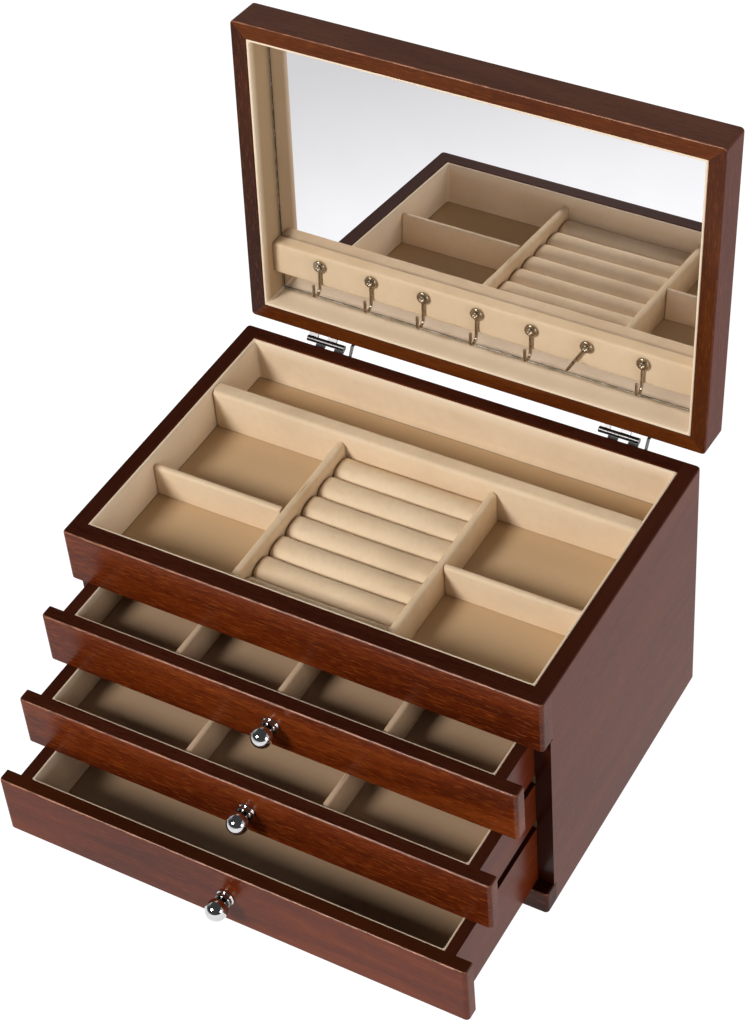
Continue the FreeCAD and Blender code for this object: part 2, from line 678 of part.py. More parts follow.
def lid_frame():
    """Four rails with mitred, rounded corners; the back one is kerfed for the hinge leaves."""
    cut = "(corner_radius * (1 - sqrt(0.5)))"
    far_x = f"({HALF} - {cut})"
    for label, outer, inner, sign in (("lid_front_rail", LID_FRONT, LID_INNER_FRONT, 1),
                                      ("lid_back_rail", LID_BACK, LID_INNER_BACK, -1)):
        corner = f"({outer} + {sign} * {cut})"
        nodes = [(f"-{far_x}", corner, f"{sign} * corner_radius"), (f"-({HALF} - corner_radius)", outer),
                 (f"{HALF} - corner_radius", outer, f"{sign} * corner_radius"), (far_x, corner),
                 (LID_INNER_X, inner), (f"-{LID_INNER_X}", inner)]
        limit = f"{outer} + {sign} * (corner_radius + 1)"
        rail = lid_rail(label, nodes, lambda box: (
            sign * (box.YMin if sign < 0 else box.YMax) < sign * value(limit)
            and box.XLength > value(cut)))
        if sign < 0:
            for shift in ("0", HINGE_SPACING):
                recess(rail, (f"{BARREL_START} + {shift}", f"{BARREL_END} + {shift}"),
                       (f"{LID_BACK} - leaf_depth", LID_BACK), ("leaf_drop", "leaf_drop + leaf_thickness"))
    for label, sign in (("lid_left_rail", -1), ("lid_right_rail", 1)):
        outer = f"({sign} * {HALF})"
        inner = f"({sign} * {LID_INNER_X})"
        corner = f"({sign} * {far_x})"
        nodes = [(corner, f"{LID_FRONT} + {cut}", f"{sign} * corner_radius"),
                 (outer, f"{LID_FRONT} + corner_radius"),
                 (outer, f"{LID_BACK} - corner_radius", f"{sign} * corner_radius"),
                 (corner, f"{LID_BACK} - {cut}"), (inner, LID_INNER_BACK), (inner, LID_INNER_FRONT)]
        limit = f"{HALF} - corner_radius - 1"
        lid_rail(label, nodes, lambda box: (
            min(abs(box.XMin), abs(box.XMax)) > value(limit) and box.YLength > value(cut)))


def mirror():
    """A bevelled mirror under the lid panel."""
    body = lid_body("lid_mirror")
    edge_x = f"({LID_INNER_X} - mirror_clearance)"
    block(body, (f"-{edge_x}", edge_x),
          (f"{LID_INNER_FRONT} + mirror_clearance", f"{LID_INNER_BACK} - mirror_clearance"),
          (MIRROR_FACE, MIRROR_TOP))
    bevel = dress_edges(body, "Chamfer", lambda box: near(box.ZMax, MIRROR_FACE))
    bevel.ChamferType = "Two distances"
    bevel.FlipDirection = True
    bind(bevel, "Size", "mirror_bevel_width")
    bind(bevel, "Size2", "mirror_bevel_depth")
    doc.recompute()


def lid_lining():
    """The velvet strip round the inside of the lid frame, up to the mirror."""
    body = lid_body("lid_lining")
    low = "(lid_seat_gap + lining_drop)"
    block(body, (f"-{LID_INNER_X}", LID_INNER_X), (LID_INNER_FRONT, LID_INNER_BACK), (low, MIRROR_FACE))
    recess(body, (f"-{BAR_X}", BAR_X), (f"{LID_INNER_FRONT} + lining_thickness",
           f"{LID_INNER_BACK} - lining_thickness"), (low, MIRROR_FACE))


def hook_bar():
    """The covered bar on the mirror that the hooks are screwed to."""
    body = lid_body("hook_bar")
    block(body, (f"-{BAR_X}", BAR_X), (BAR_HIGH, BAR_LOW), (BAR_FACE, MIRROR_FACE))
    round_edges(body, "hook_bar_radius", lambda box: near(box.ZMax, BAR_FACE) and box.XLength > box.YLength)
    holes = sketch_on(body, "XY_Plane", BAR_FACE)
    for index in range(int(value("hook_count"))):
        circle(holes, hook_x(index), HOOK_Y, "hook_screw_radius")
    pocket(body, holes, "hook_screw_length", reverse=True)


def hook_x(index):
    return f"(hook_end_margin - {BAR_X} + {index} * {HOOK_PITCH})"


def hook_screws():
    """A round-head screw through each hook's eye into the bar."""
    body = lid_body("hook_screws")
    seat = f"({BAR_FACE} - 2 * hook_play - hook_eye_thickness)"
    for radius, start, length in (
            ("hook_screw_radius", seat, "2 * hook_play + hook_eye_thickness + hook_screw_length"),
            ("hook_screw_head_radius", f"{seat} - hook_screw_head_height", "hook_screw_head_height")):
        sketch = sketch_on(body, "XY_Plane", start)
        circle(sketch, hook_x(0), HOOK_Y, radius)
        pad(body, sketch, length)
    head_top = f"{seat} - hook_screw_head_height"
    bevel_edges(body, "hook_screw_head_bevel", lambda box: near(box.ZMax, head_top))
    repeat(body, "X_Axis", f"(hook_count - 1) * {HOOK_PITCH}", "hook_count")


lid_frame()
block(lid_body("lid_top_panel"), (f"-{LID_INNER_X}", LID_INNER_X), (LID_INNER_FRONT, LID_INNER_BACK),
      (MIRROR_TOP, LID_TOP))
mirror()
lid_lining()
hook_bar()
hook_screws()


# Hooks

def hook_body(number):
    """A body in a hook's frame: its eye's middle on the screw axis, its shank running down the bar."""
    body = doc.addObject("PartDesign::Body", f"hook_{number}")
    body.Label = f"hook_{number}"
    swing = value("hook_swing") if number == SWUNG_HOOK else 0.0
    opened = FreeCAD.Rotation(FreeCAD.Vector(-1, 0, 0), value("lid_angle"))
    body.Placement.Rotation = opened.multiply(FreeCAD.Rotation(FreeCAD.Vector(0, 0, 1), swing))
    cosine = "cos(lid_angle * 1 deg)"
    sine = "sin(lid_angle * 1 deg)"
    bind(body, "Placement.Base.x", hook_x(number - 1))
    bind(body, "Placement.Base.y", f"{AXIS_Y} + {HOOK_Y} * {cosine} + {EYE_MID} * {sine}")
    bind(body, "Placement.Base.z", f"{AXIS_Z} - {HOOK_Y} * {sine} + {EYE_MID} * {cosine}")
    return body


def hook(number):
    """A wire hook: a flat eye on the screw, a straight shank and a bend that comes forward and up."""
    body = hook_body(number)
    eye = sketch_on(body, "XY_Plane", "-hook_eye_thickness / 2")
    circle(eye, "0", "0", "hook_eye_radius")
    pad(body, eye, "hook_eye_thickness")
    round_edges(body, "hook_eye_round", lambda box: box.ZLength < TOLERANCE)
    path = sketch_on(body, "YZ_Plane")
    bend = "(-2 * hook_bend_radius)"
    start = FreeCAD.Vector(value("hook_eye_radius / 2"), 0, 0)
    turn = FreeCAD.Vector(value("hook_shank"), 0, 0)
    low = FreeCAD.Vector(value("hook_shank + hook_bend_radius"), -value("hook_bend_radius"), 0)
    rise = FreeCAD.Vector(value("hook_shank"), value(bend), 0)
    tip = FreeCAD.Vector(value("hook_shank - hook_tip"), value(bend), 0)
    for curve in (Part.LineSegment(start, turn), Part.Arc(turn, low, rise), Part.LineSegment(rise, tip)):
        path.addGeometry(curve)
    first = 1 if path.getPoint(1, 1).distanceToPoint(turn) < TOLERANCE else 2
    path.addConstraint(Sketcher.Constraint("Coincident", 0, 2, 1, first))
    path.addConstraint(Sketcher.Constraint("Coincident", 1, 3 - first, 2, 1))
    tie(path, 0, 1, "hook_eye_radius / 2", "0")
    tie(path, 0, 2, "hook_shank", "0")
    tie(path, 2, 1, "hook_shank", bend)
    tie(path, 2, 2, "hook_shank - hook_tip", bend)
    centre = path.addConstraint(Sketcher.Constraint("DistanceX", -1, 1, 1, 3, value("hook_shank")))
    bind(path, f"Constraints[{centre}]", "hook_shank")
    section = sketch_on(body, "XZ_Plane", "-hook_eye_radius / 2")
    circle(section, "0", "0", "hook_wire_radius")
    wire = body.newObject("PartDesign::AdditivePipe", "AdditivePipe")
    wire.Profile = section
    wire.Spine = path
    doc.recompute()
    bore = sketch_on(body, "XY_Plane", "hook_eye_thickness")
    circle(bore, "0", "0", "hook_screw_radius + pin_clearance")
    pocket(body, bore, "2 * hook_eye_thickness")


for number in range(1, int(value("hook_count")) + 1):
    hook(number)


# Hinges

def leaf(body, axis_y, axis_z, sign, knuckles):
    """A kerfed leaf, its necks and its knuckles round the pin; sign is up for the lid, down for the case."""
    near_face = f"({axis_y} - hinge_setback)"
    close = f"({axis_z} + {sign} * leaf_drop)"
    far = f"({axis_z} + {sign} * (leaf_drop + leaf_thickness))"
    along_x(body, [(f"{near_face} - leaf_depth", close), (near_face, close), (near_face, far),
                   (f"{near_face} - leaf_depth", far)][::sign], (BARREL_START, BARREL_END))
    for place in knuckles:
        start = f"({BARREL_START} + {place} * (knuckle_length + knuckle_gap))"
        span = (start, f"{start} + knuckle_length")
        along_x(body, [(f"{near_face} - leaf_thickness", close), (near_face, close),
                       (f"{axis_y} - barrel_radius / 2", f"{axis_z} + {sign} * barrel_radius / 2"),
                       (axis_y, f"{axis_z} + {sign} * barrel_radius"), (near_face, far),
                       (f"{near_face} - leaf_thickness", far)][::sign], span)
        barrel = sketch_on(body, "YZ_Plane", start)
        circle(barrel, axis_y, axis_z, "barrel_radius")
        pad(body, barrel, "knuckle_length")
    bore = sketch_on(body, "YZ_Plane", BARREL_START)
    circle(bore, axis_y, axis_z, LEAF_BORE)
    pocket(body, bore, BARREL_LENGTH, reverse=True)


def stop_arm(body, axis_y, axis_z):
    """The arm beside the barrel that the open lid leans back on."""
    slope = "tan((lid_angle - 90) * 1 deg)"
    top = f"({axis_z} + hinge_setback - stop_clearance)"
    tip = f"({top} - stop_arm_reach * {slope})"
    floor = f"({axis_z} - leaf_drop - leaf_thickness)"
    face = f"({axis_y} - hinge_setback)"
    along_x(body, [
        (f"{face} - leaf_depth", floor), (f"{face} + stop_arm_depth / 2", floor),
        (f"{axis_y} + stop_arm_depth", f"{top} - stop_arm_depth"),
        (f"{axis_y} + stop_arm_reach", f"{tip} - stop_arm_depth"), (f"{axis_y} + stop_arm_reach", tip),
        (axis_y, top), (face, f"{floor} + leaf_thickness"),
        (f"{face} - leaf_depth", f"{floor} + leaf_thickness")],
        (ARM_START, f"{ARM_START} + stop_arm_width"))
    along_x(body, [(f"{face} - leaf_depth", floor), (face, floor), (face, f"{floor} + leaf_thickness"),
                   (f"{face} - leaf_depth", f"{floor} + leaf_thickness")], (BARREL_END, ARM_START))


case_axis_y = "(case_depth + hinge_setback)"
case_leaves = case_body("case_hinge_leaves")
leaf(case_leaves, case_axis_y, RIM, -1, (1, 3))
stop_arm(case_leaves, case_axis_y, RIM)
repeat(case_leaves, "X_Axis", HINGE_SPACING, "2")
lid_leaves = lid_body("lid_hinge_leaves")
leaf(lid_leaves, "0", "0", 1, (0, 2))
repeat(lid_leaves, "X_Axis", HINGE_SPACING, "2")
pins = case_body("hinge_pins")
pin_end = sketch_on(pins, "YZ_Plane", BARREL_START)
circle(pin_end, case_axis_y, RIM, "pin_radius")
pad(pins, pin_end, BARREL_LENGTH)
repeat(pins, "X_Axis", HINGE_SPACING, "2")


# Every feature is sound before anything is written.
doc.recompute()
for item in doc.Objects:
    if "Invalid" in item.State or "Error" in item.State:
        raise ValueError(f"{item.Label} failed: {item.State}")
os.makedirs("parts", exist_ok=True)
bodies = [item for item in doc.Objects if item.TypeId == "PartDesign::Body"]
for body in bodies:
    if body.Shape.isNull() or not body.Shape.isValid():
        raise ValueError(f"{body.Label} has no sound shape")
for body in bodies:
    body.Shape.exportStep(f"parts/{body.Label}.step")
box = FreeCAD.BoundBox()
for body in bodies:
    box.add(body.Shape.BoundBox)
print(f"{len(bodies)} pieces, {sum(len(body.Shape.Solids) for body in bodies)} solids, box {box}")
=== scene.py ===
"""Looks of the wooden jewellery box: stained wood, velvet linings, ring rolls, mirror, knobs and hooks."""
import json
import math

import bmesh
import bpy
from mathutils import Matrix, Vector, noise


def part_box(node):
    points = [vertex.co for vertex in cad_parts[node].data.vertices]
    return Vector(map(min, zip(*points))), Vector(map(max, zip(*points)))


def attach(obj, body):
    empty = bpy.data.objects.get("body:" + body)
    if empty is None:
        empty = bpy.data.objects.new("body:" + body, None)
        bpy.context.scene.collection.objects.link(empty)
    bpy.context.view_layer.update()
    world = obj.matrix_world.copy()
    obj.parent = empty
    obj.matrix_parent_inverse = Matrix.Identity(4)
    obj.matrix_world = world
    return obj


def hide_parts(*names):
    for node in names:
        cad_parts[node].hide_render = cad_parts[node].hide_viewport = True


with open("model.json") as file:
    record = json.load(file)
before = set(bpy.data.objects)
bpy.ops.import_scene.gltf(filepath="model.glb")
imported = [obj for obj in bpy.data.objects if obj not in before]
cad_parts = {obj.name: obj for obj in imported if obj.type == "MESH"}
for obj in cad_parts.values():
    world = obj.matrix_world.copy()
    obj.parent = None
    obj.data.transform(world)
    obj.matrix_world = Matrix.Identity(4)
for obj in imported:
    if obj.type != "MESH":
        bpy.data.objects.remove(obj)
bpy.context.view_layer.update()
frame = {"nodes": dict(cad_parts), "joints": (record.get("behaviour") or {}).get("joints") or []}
nodes = frame["nodes"]

MM = 0.001
DRAWERS = ("drawer_top", "drawer_middle", "drawer_bottom")
joints = {joint["name"]: joint for joint in frame["joints"]}
HOOK_JOINTS = [joints[name] for name in sorted(joints) if name.startswith("hook_")]
LID_AXIS = Vector(joints["lid_hinge"]["pos_m"])
LID_ANGLE = -joints["lid_hinge"]["range_deg"][0]
LID_OPEN = Matrix.Translation(LID_AXIS) @ Matrix.Rotation(math.radians(-LID_ANGLE), 4, "X")
LID_SHUT = LID_OPEN.inverted()

# Sizes that the frame's boxes don't give
TRAY_CARD = 1.8 * MM
DRAWER_CARD = 1.5 * MM
DIVIDER_THICKNESS = 4.8 * MM
SHORT_DIVIDER_LENGTH = 82.6 * MM
CROSS_FRONT_ROUND = 2.6 * MM
CROSS_BACK_ROUND = 2.0 * MM
DRAWER_DIVIDER_THICKNESS = 4.0 * MM
CARD_CORNER = 0.2 * MM
INSIDE_CORNER = 1.6 * MM
WALL_STEP = 12 * MM
WALL_GRIP = 0.5 * MM
SEAM_WIDTH = 0.8 * MM
SEAM_DEPTH = 0.35 * MM
BOARD_FOOT_ROUND = 0.8 * MM
BOARD_DRAW_IN = 1.1 * MM
BOARD_STEP = 7 * MM
DIVIDER_TOP_ROUND = 0.48
DRAWER_DIVIDER_GAP = 0.3 * MM
HOOK_BAR_ROUND = 1.6 * MM
HOOK_BAR_DRAW_IN = 0.7 * MM
HOOK_BAR_STEP = 2.5 * MM
HOOK_BAR_PAINTED_SHADE = 0.35
SCREW_DIP = 0.45 * MM
SCREW_DIP_REACH = 5 * MM
ROLL_COUNT = 7
ROLL_SQUARENESS = 0.66
ROLL_VOXEL = 1.5 * MM
ROLL_SWELL = 0.8 * MM
GROUND_WIDTH = 1.1 * MM
GROUND_DEPTH = 0.3 * MM
GROUND_TUCK = 0.1 * MM
HOOK_EYE_FACE = 1.12 * MM
KNOB_CENTRE = 9.6 * MM
KNOB_BALL = 6.3 * MM
KNOB_NECK = 3.9 * MM
KNOB_NECK_PLACE = 4.6 * MM
KNOB_NECK_SHADE_REACH = 1.6 * MM
KNOB_SIDES = 56

# Unevenness of the velvet: the length of a wave and its height
WALL_WAVE = (40 * MM, 0.2 * MM)
FLOOR_WAVE = (30 * MM, 0.25 * MM)
BOARD_WAVE = (22 * MM, 0.22 * MM)
ROLL_WAVE = (26 * MM, 0.3 * MM)
HOOK_BAR_WAVE = (16 * MM, 0.2 * MM)


# Shader nodes

class Finish:
    """A material under construction, with short ways to add and join its nodes."""

    def __init__(self, name):
        self.material = bpy.data.materials.new(name)
        self.material.use_nodes = True
        self.tree = self.material.node_tree
        self.shader = self.tree.nodes["Principled BSDF"]
        self.coordinates = self.add("ShaderNodeTexCoord")
        self.place = self.coordinates.outputs["Object"]

    def add(self, kind, **settings):
        node = self.tree.nodes.new(kind)
        for key, setting in settings.items():
            setattr(node, key, setting)
        return node

    def link(self, source, target):
        self.tree.links.new(source, target)

    def put(self, given, socket):
        """Links a socket to a node's output, or sets it."""
        if isinstance(given, bpy.types.NodeSocket):
            self.link(given, socket)
        else:
            socket.default_value = given

    def fill(self, node, **inputs):
        """Sets or links a node's inputs by name, with underscores for spaces."""
        for key, given in inputs.items():
            self.put(given, node.inputs[key.replace("_", " ")])
        return node

    def stretched(self, scale, rotation=(0, 0, 0), shift=(0, 0, 0)):
        mapping = self.add("ShaderNodeMapping", vector_type="TEXTURE")
        self.fill(mapping, Vector=self.place, Scale=scale, Rotation=rotation, Location=shift)
        return mapping.outputs["Vector"]

    def noise(self, vector, scale, detail=2.0, roughness=0.5, distortion=0.0):
        node = self.add("ShaderNodeTexNoise")
        self.fill(node, Vector=vector, Scale=scale, Detail=detail, Roughness=roughness, Distortion=distortion)
        return node.outputs["Fac"]

    def ramp(self, factor, stops):
        node = self.add("ShaderNodeValToRGB")
        while len(node.color_ramp.elements) < len(stops):
            node.color_ramp.elements.new(0.5)
        for element, (position, colour) in zip(node.color_ramp.elements, stops):
            element.position = position
            element.color = (*colour, 1.0)
        self.link(factor, node.inputs["Fac"])
        return node.outputs["Color"]

    def mask(self, factor, low, high):
        """A smooth step from 0 at low to 1 at high."""
        node = self.add("ShaderNodeMapRange", interpolation_type="SMOOTHSTEP")
        self.fill(node, Value=factor, From_Min=low, From_Max=high)
        return node.outputs["Result"]

    def maths(self, operation, first, second):
        node = self.add("ShaderNodeMath", operation=operation)
        self.put(first, node.inputs[0])
        self.put(second, node.inputs[1])
        return node.outputs["Value"]

    def mix(self, factor, first, second):
        node = self.add("ShaderNodeMix", data_type="RGBA")
        sockets = [s for s in node.inputs if s.type == "RGBA"]
        for socket, given in ((node.inputs["Factor"], factor), (sockets[0], first), (sockets[1], second)):
            self.put((*given, 1.0) if isinstance(given, tuple) else given, socket)
        return next(s for s in node.outputs if s.type == "RGBA")

    def wash(self, base, mask, share, colour):
        """Lays a hex colour over a base, as far as a share of a mask."""
        return self.mix(self.maths("MULTIPLY", mask, share), base, linear(colour))

    def attribute(self, name):
        return self.add("ShaderNodeAttribute", attribute_name=name).outputs["Fac"]

    def facing(self, axis):
        """How far a surface of the piece faces along an axis of its own, X, Y or Z."""
        split = self.add("ShaderNodeSeparateXYZ")
        self.link(self.coordinates.outputs["Normal"], split.inputs["Vector"])
        return split.outputs[axis]

    def bump(self, height, strength, distance):
        node = self.add("ShaderNodeBump")
        self.fill(node, Height=height, Strength=strength, Distance=distance)
        self.link(node.outputs["Normal"], self.shader.inputs["Normal"])

    def surface(self, **inputs):
        self.fill(self.shader, **inputs)
        return self.material


# Finishes

def linear(hex_colour):
    """A linear colour from an sRGB hex one."""
    values = [int(hex_colour[i:i + 2], 16) / 255 for i in (0, 2, 4)]
    return tuple(v / 12.92 if v <= 0.04045 else ((v + 0.055) / 1.055) ** 2.4 for v in values)


GRAIN_TURN = {"x": (0, 0, 0), "y": (0, 0, math.pi / 2), "z": (0, math.pi / 2, 0)}
CASE_TONES = ("461706", "5e2308", "763511")
# Darker tones for the base rail, low under the drawers: painted shade.
BASE_SHADED_TONES = ("2c0d04", "361204", "401806")
SIDE_TONES = ("4f1a06", "581f07", "612509")
# The lid's front-facing tones: the stain with a painted warm reflection of the velvet.
LID_REFLECTION_TONES = ("4a2009", "5a2a0c", "6a3612")
LID_SIDE_REFLECTION_TONES = ("3f1b0a", "4b230d", "582d12")
# A darker copy of the lid's front tones for its left rail: painted shade.
LID_SHADED_TONES = ("301409", "3b1b0b", "46230e")


def stained_wood(name, along, tones, contrast, gloss, painted_top_colour, top_dulling=0.95, end_shade=0.0,
                 front_reflection_tones=None):
    """Red-brown stain over open-grained wood, under lacquer; along is the way the grain runs.

    Tops take a painted colour for how light falls on them (painted shade on the case, a painted sheen on the
    lid) and lose a share of their gloss; front arrises get a painted highlight. Faces to the front may have
    tones of their own, used on the lid for a painted warm reflection and, on its left rail, painted shade.
    """
    finish = Finish(name)
    turn = GRAIN_TURN[along]
    figure = finish.noise(finish.stretched((7, 1, 1), turn), 34, 3, 0.55, 0.8)
    streak = finish.noise(finish.stretched((11, 1, 1), turn, (0.3, 0.1, 0.7)), 1150, 3, 0.6, 0.5)
    pore = finish.noise(finish.stretched((11, 1, 1), turn, (0.7, 0.4, 0.2)), 1900, 2, 0.5, 0.4)
    fleck = finish.noise(finish.stretched((12, 1, 1), turn, (0.1, 0.9, 0.5)), 1450, 2, 0.5, 0.5)
    base = finish.ramp(figure, [(0.3, linear(tones[0])), (0.5, linear(tones[1])), (0.7, linear(tones[2]))])
    # Front faces take their own tones; on the lid these hold a painted warm reflection.
    if front_reflection_tones:
        front = finish.ramp(figure, [(0.3, linear(front_reflection_tones[0])), (0.5, linear(front_reflection_tones[1])),
                                     (0.7, linear(front_reflection_tones[2]))])
        base = finish.mix(finish.mask(finish.facing("Y"), -0.3, -0.9), base, front)
    base = finish.wash(base, finish.mask(fleck, 0.53, 0.67), 0.45 * contrast, "914a1c")
    # Painted top colour: painted shade darkens the case's tops, and a painted sheen lightens the lid's.
    painted_top_stops = [tuple(share * part for part in linear(painted_top_colour)) for share in (0.8, 1.2)]
    painted_top_ramp = finish.ramp(figure, [(0.35, painted_top_stops[0]), (0.65, painted_top_stops[1])])
    top = finish.maths("MULTIPLY", finish.mask(finish.facing("Z"), 0.3, 0.9), 0.9)
    base = finish.mix(top, base, painted_top_ramp)
    base = finish.wash(base, finish.mask(streak, 0.48, 0.64), 0.5 * contrast, "310d05")
    base = finish.wash(base, finish.mask(pore, 0.6, 0.68), 0.5 * contrast, "1d0805")
    base = finish.wash(base, finish.mask(finish.facing("Y"), -0.3, -0.9), end_shade, "1f0a05")
    # A painted highlight, pale pinkish, along the rounded front arrises.
    arris = finish.maths("MULTIPLY", finish.mask(finish.facing("Y"), -0.2, -0.6),
                         finish.mask(finish.facing("Z"), 0.2, 0.6))
    painted_arris_highlight = finish.maths("MULTIPLY", arris, finish.maths("ADD", finish.mask(fleck, 0.4, 0.6), 0.35))
    base = finish.wash(base, painted_arris_highlight, 0.55, "b57d62")
    finish.bump(finish.maths("SUBTRACT", 1.0, finish.mask(pore, 0.58, 0.7)), 0.12 * contrast, 0.0001)
    rough = finish.maths("ADD", finish.maths("MULTIPLY", streak, 0.1), 0.4)
    flat_top = finish.maths("MULTIPLY", finish.mask(finish.facing("Z"), 0.88, 0.99), top_dulling * gloss)
    finish.surface(Base_Color=base, Roughness=rough, Specular_IOR_Level=0.0,
                   Coat_Weight=finish.maths("SUBTRACT", gloss, flat_top), Coat_Roughness=0.24)
    return finish.material


def plain_board(name):
    """Thin unlacquered board, stained brown."""
    finish = Finish(name)
    grain = finish.noise(finish.stretched((14, 1, 1)), 260, 4, 0.6)
    base = finish.ramp(grain, [(0.3, linear("4b2a1a")), (0.7, linear("6d4630"))])
    finish.bump(grain, 0.2, 0.0002)
    return finish.surface(Base_Color=base, Roughness=0.72)


def velvet(name, shade, body, light, edge, sheen):
    """Short-pile velvet: cloudy where the nap lies differently, with painted light and shade: a painted
    highlight along its rim, paler faces toward the front, back and top, and painted shade on floors and
    seams.
    """
    finish = Finish(name)
    nap = finish.noise(finish.stretched((1, 1, 1)), 30, 2, 0.5)
    pile = finish.noise(finish.stretched((1, 1, 1)), 2600, 2, 0.7)
    base = finish.ramp(nap, [(0.25, linear(shade)), (0.45, linear(body)), (0.75, linear(light))])
    brushed_and_lit = finish.noise(finish.stretched((1, 1, 1), shift=(0.4, 0.2, 0.9)), 240, 4, 0.65)
    base = finish.wash(base, finish.mask(brushed_and_lit, 0.4, 0.72), 0.4, shade)
    base = finish.wash(base, finish.mask(pile, 0.35, 0.7), 0.25, light)
    # Painted light: faces turned to the front or back, and up, are paler.
    painted_light_facing = finish.mask(finish.maths("ABSOLUTE", finish.facing("Y"), 0.0), 0.2, 0.95)
    base = finish.wash(base, painted_light_facing, 0.5, edge)
    base = finish.wash(base, finish.mask(finish.facing("Z"), 0.4, 0.95), 0.22, edge)
    # Painted shade on floors, on the lid lining's left strip and on the hook bar, all marked as floor.
    base = finish.wash(base, finish.attribute("floor"), 0.92, shade)
    # A painted highlight along the rim, where the folded edge catches the light; walls marked through the rim
    # take painted light too.
    base = finish.wash(base, finish.attribute("rim"), 0.8, edge)
    # Painted shade in the seam grooves and along the feet of covered boards.
    base = finish.wash(base, finish.attribute("seam"), 0.6, "6f5439")
    finish.bump(pile, 0.35, 0.00025)
    finish.surface(Base_Color=base, Roughness=0.92, Sheen_Weight=sheen, Sheen_Roughness=0.45)
    finish.shader.inputs["Sheen Tint"].default_value = (*linear(light), 1.0)
    finish.shader.inputs["Specular IOR Level"].default_value = 0.15
    return finish.material


def metal(name, colour, roughness, mottle):
    """Polished or plated metal with a faint cloudiness in its polish, darkened by a painted dark reflection
    where a knob's neck is marked.
    """
    finish = Finish(name)
    cloud = finish.noise(finish.stretched((1, 1, 1)), 240, 3, 0.6)
    rough = finish.maths("ADD", finish.maths("MULTIPLY", cloud, mottle), roughness)
    base = finish.ramp(cloud, [(0.3, tuple(0.86 * c for c in linear(colour))), (0.7, linear(colour))])
    base = finish.mix(finish.attribute("neck_shade"), base, linear("2b2420"))
    return finish.surface(Base_Color=base, Metallic=1.0, Roughness=rough)


def silvered_glass(name):
    finish = Finish(name)
    haze = finish.noise(finish.stretched((1, 1, 1)), 30, 2)
    rough = finish.maths("MULTIPLY", finish.mask(haze, 0.4, 0.8), 0.012)
    base = finish.ramp(haze, [(0.3, (0.87, 0.87, 0.9)), (0.7, (0.89, 0.89, 0.92))])
    return finish.surface(Base_Color=base, Metallic=1.0, Roughness=rough)


def ground_glass(name):
    """The ground edge of the mirror: a pale frosted band with painted glints in its white flecks where it
    meets the lining, and painted shade in a dark band where the silver starts.
    """
    finish = Finish(name)
    facet = finish.noise(finish.stretched((1, 1, 1)), 110, 3, 0.6)
    # The pale band is frosted glass with painted glints; the dark band is painted shade.
    pale = finish.ramp(facet, [(0.34, linear("a39c86")), (0.5, linear("e6e1d2")), (0.62, linear("ffffff"))])
    dark = finish.ramp(facet, [(0.4, linear("17130e")), (0.64, linear("5a5345"))])
    base = finish.mix(finish.mask(finish.attribute("pale"), 0.4, 0.6), dark, pale)
    finish.bump(facet, 0.3, 0.0003)
    return finish.surface(Base_Color=base, Metallic=0.3, Roughness=finish.maths("MULTIPLY", facet, 0.5))


def bumper_rubber(name):
    finish = Finish(name)
    grain = finish.noise(finish.stretched((1, 1, 1)), 1400, 2)
    base = finish.ramp(grain, [(0.3, linear("141210")), (0.7, linear("221f1c"))])
    finish.bump(grain, 0.2, 0.0002)
    return finish.surface(Base_Color=base, Roughness=0.7)


CASE_X = stained_wood("case_grain_across", "x", CASE_TONES, 1.0, 0.44, "381b12")
CASE_Y = stained_wood("case_grain_deep", "y", SIDE_TONES, 0.35, 0.4, "381b12", end_shade=0.8)
CALM_X = stained_wood("calm_grain_across", "x", CASE_TONES, 0.4, 0.44, "3a1c0e")
# The base rail: a darker copy of the case wood, painted shade.
BASE_SHADED_X = stained_wood("base_shaded_grain_across", "x", BASE_SHADED_TONES, 0.5, 0.3, "280f08")
LID_X = stained_wood("lid_grain_across", "x", SIDE_TONES, 0.5, 0.28, "5f3928", top_dulling=0.0,
                     front_reflection_tones=LID_REFLECTION_TONES)
LID_Z = stained_wood("lid_grain_up", "z", SIDE_TONES, 0.5, 0.32, "5f3928", top_dulling=0.0,
                     front_reflection_tones=LID_SIDE_REFLECTION_TONES)
# The lid's left rail, its front faces darkened with painted shade.
LID_SHADED_Z = stained_wood("lid_shaded_grain_up", "z", SIDE_TONES, 0.5, 0.32, "5f3928", top_dulling=0.0,
                          front_reflection_tones=LID_SHADED_TONES)
BOARD = plain_board("thin_board")
TRAY_VELVET = velvet("beige_velvet", "c6a883", "d9bd99", "e0c8a7", "f2e0c8", 0.3)
DRAWER_VELVET = velvet("taupe_velvet", "b39578", "c2a486", "cbaf92", "ead8c1", 0.25)
CHROME = metal("polished_chrome", "d8d8da", 0.02, 0.03)
NICKEL = metal("nickel_wire", "b8a994", 0.2, 0.12)
STEEL = metal("plated_steel", "5c5b5d", 0.26, 0.16)
SCREW_STEEL = metal("screw_steel", "a89c8a", 0.3, 0.1)
MIRROR = silvered_glass("silvered_glass")
GROUND_EDGE = ground_glass("ground_glass")
RUBBER = bumper_rubber("bumper_rubber")

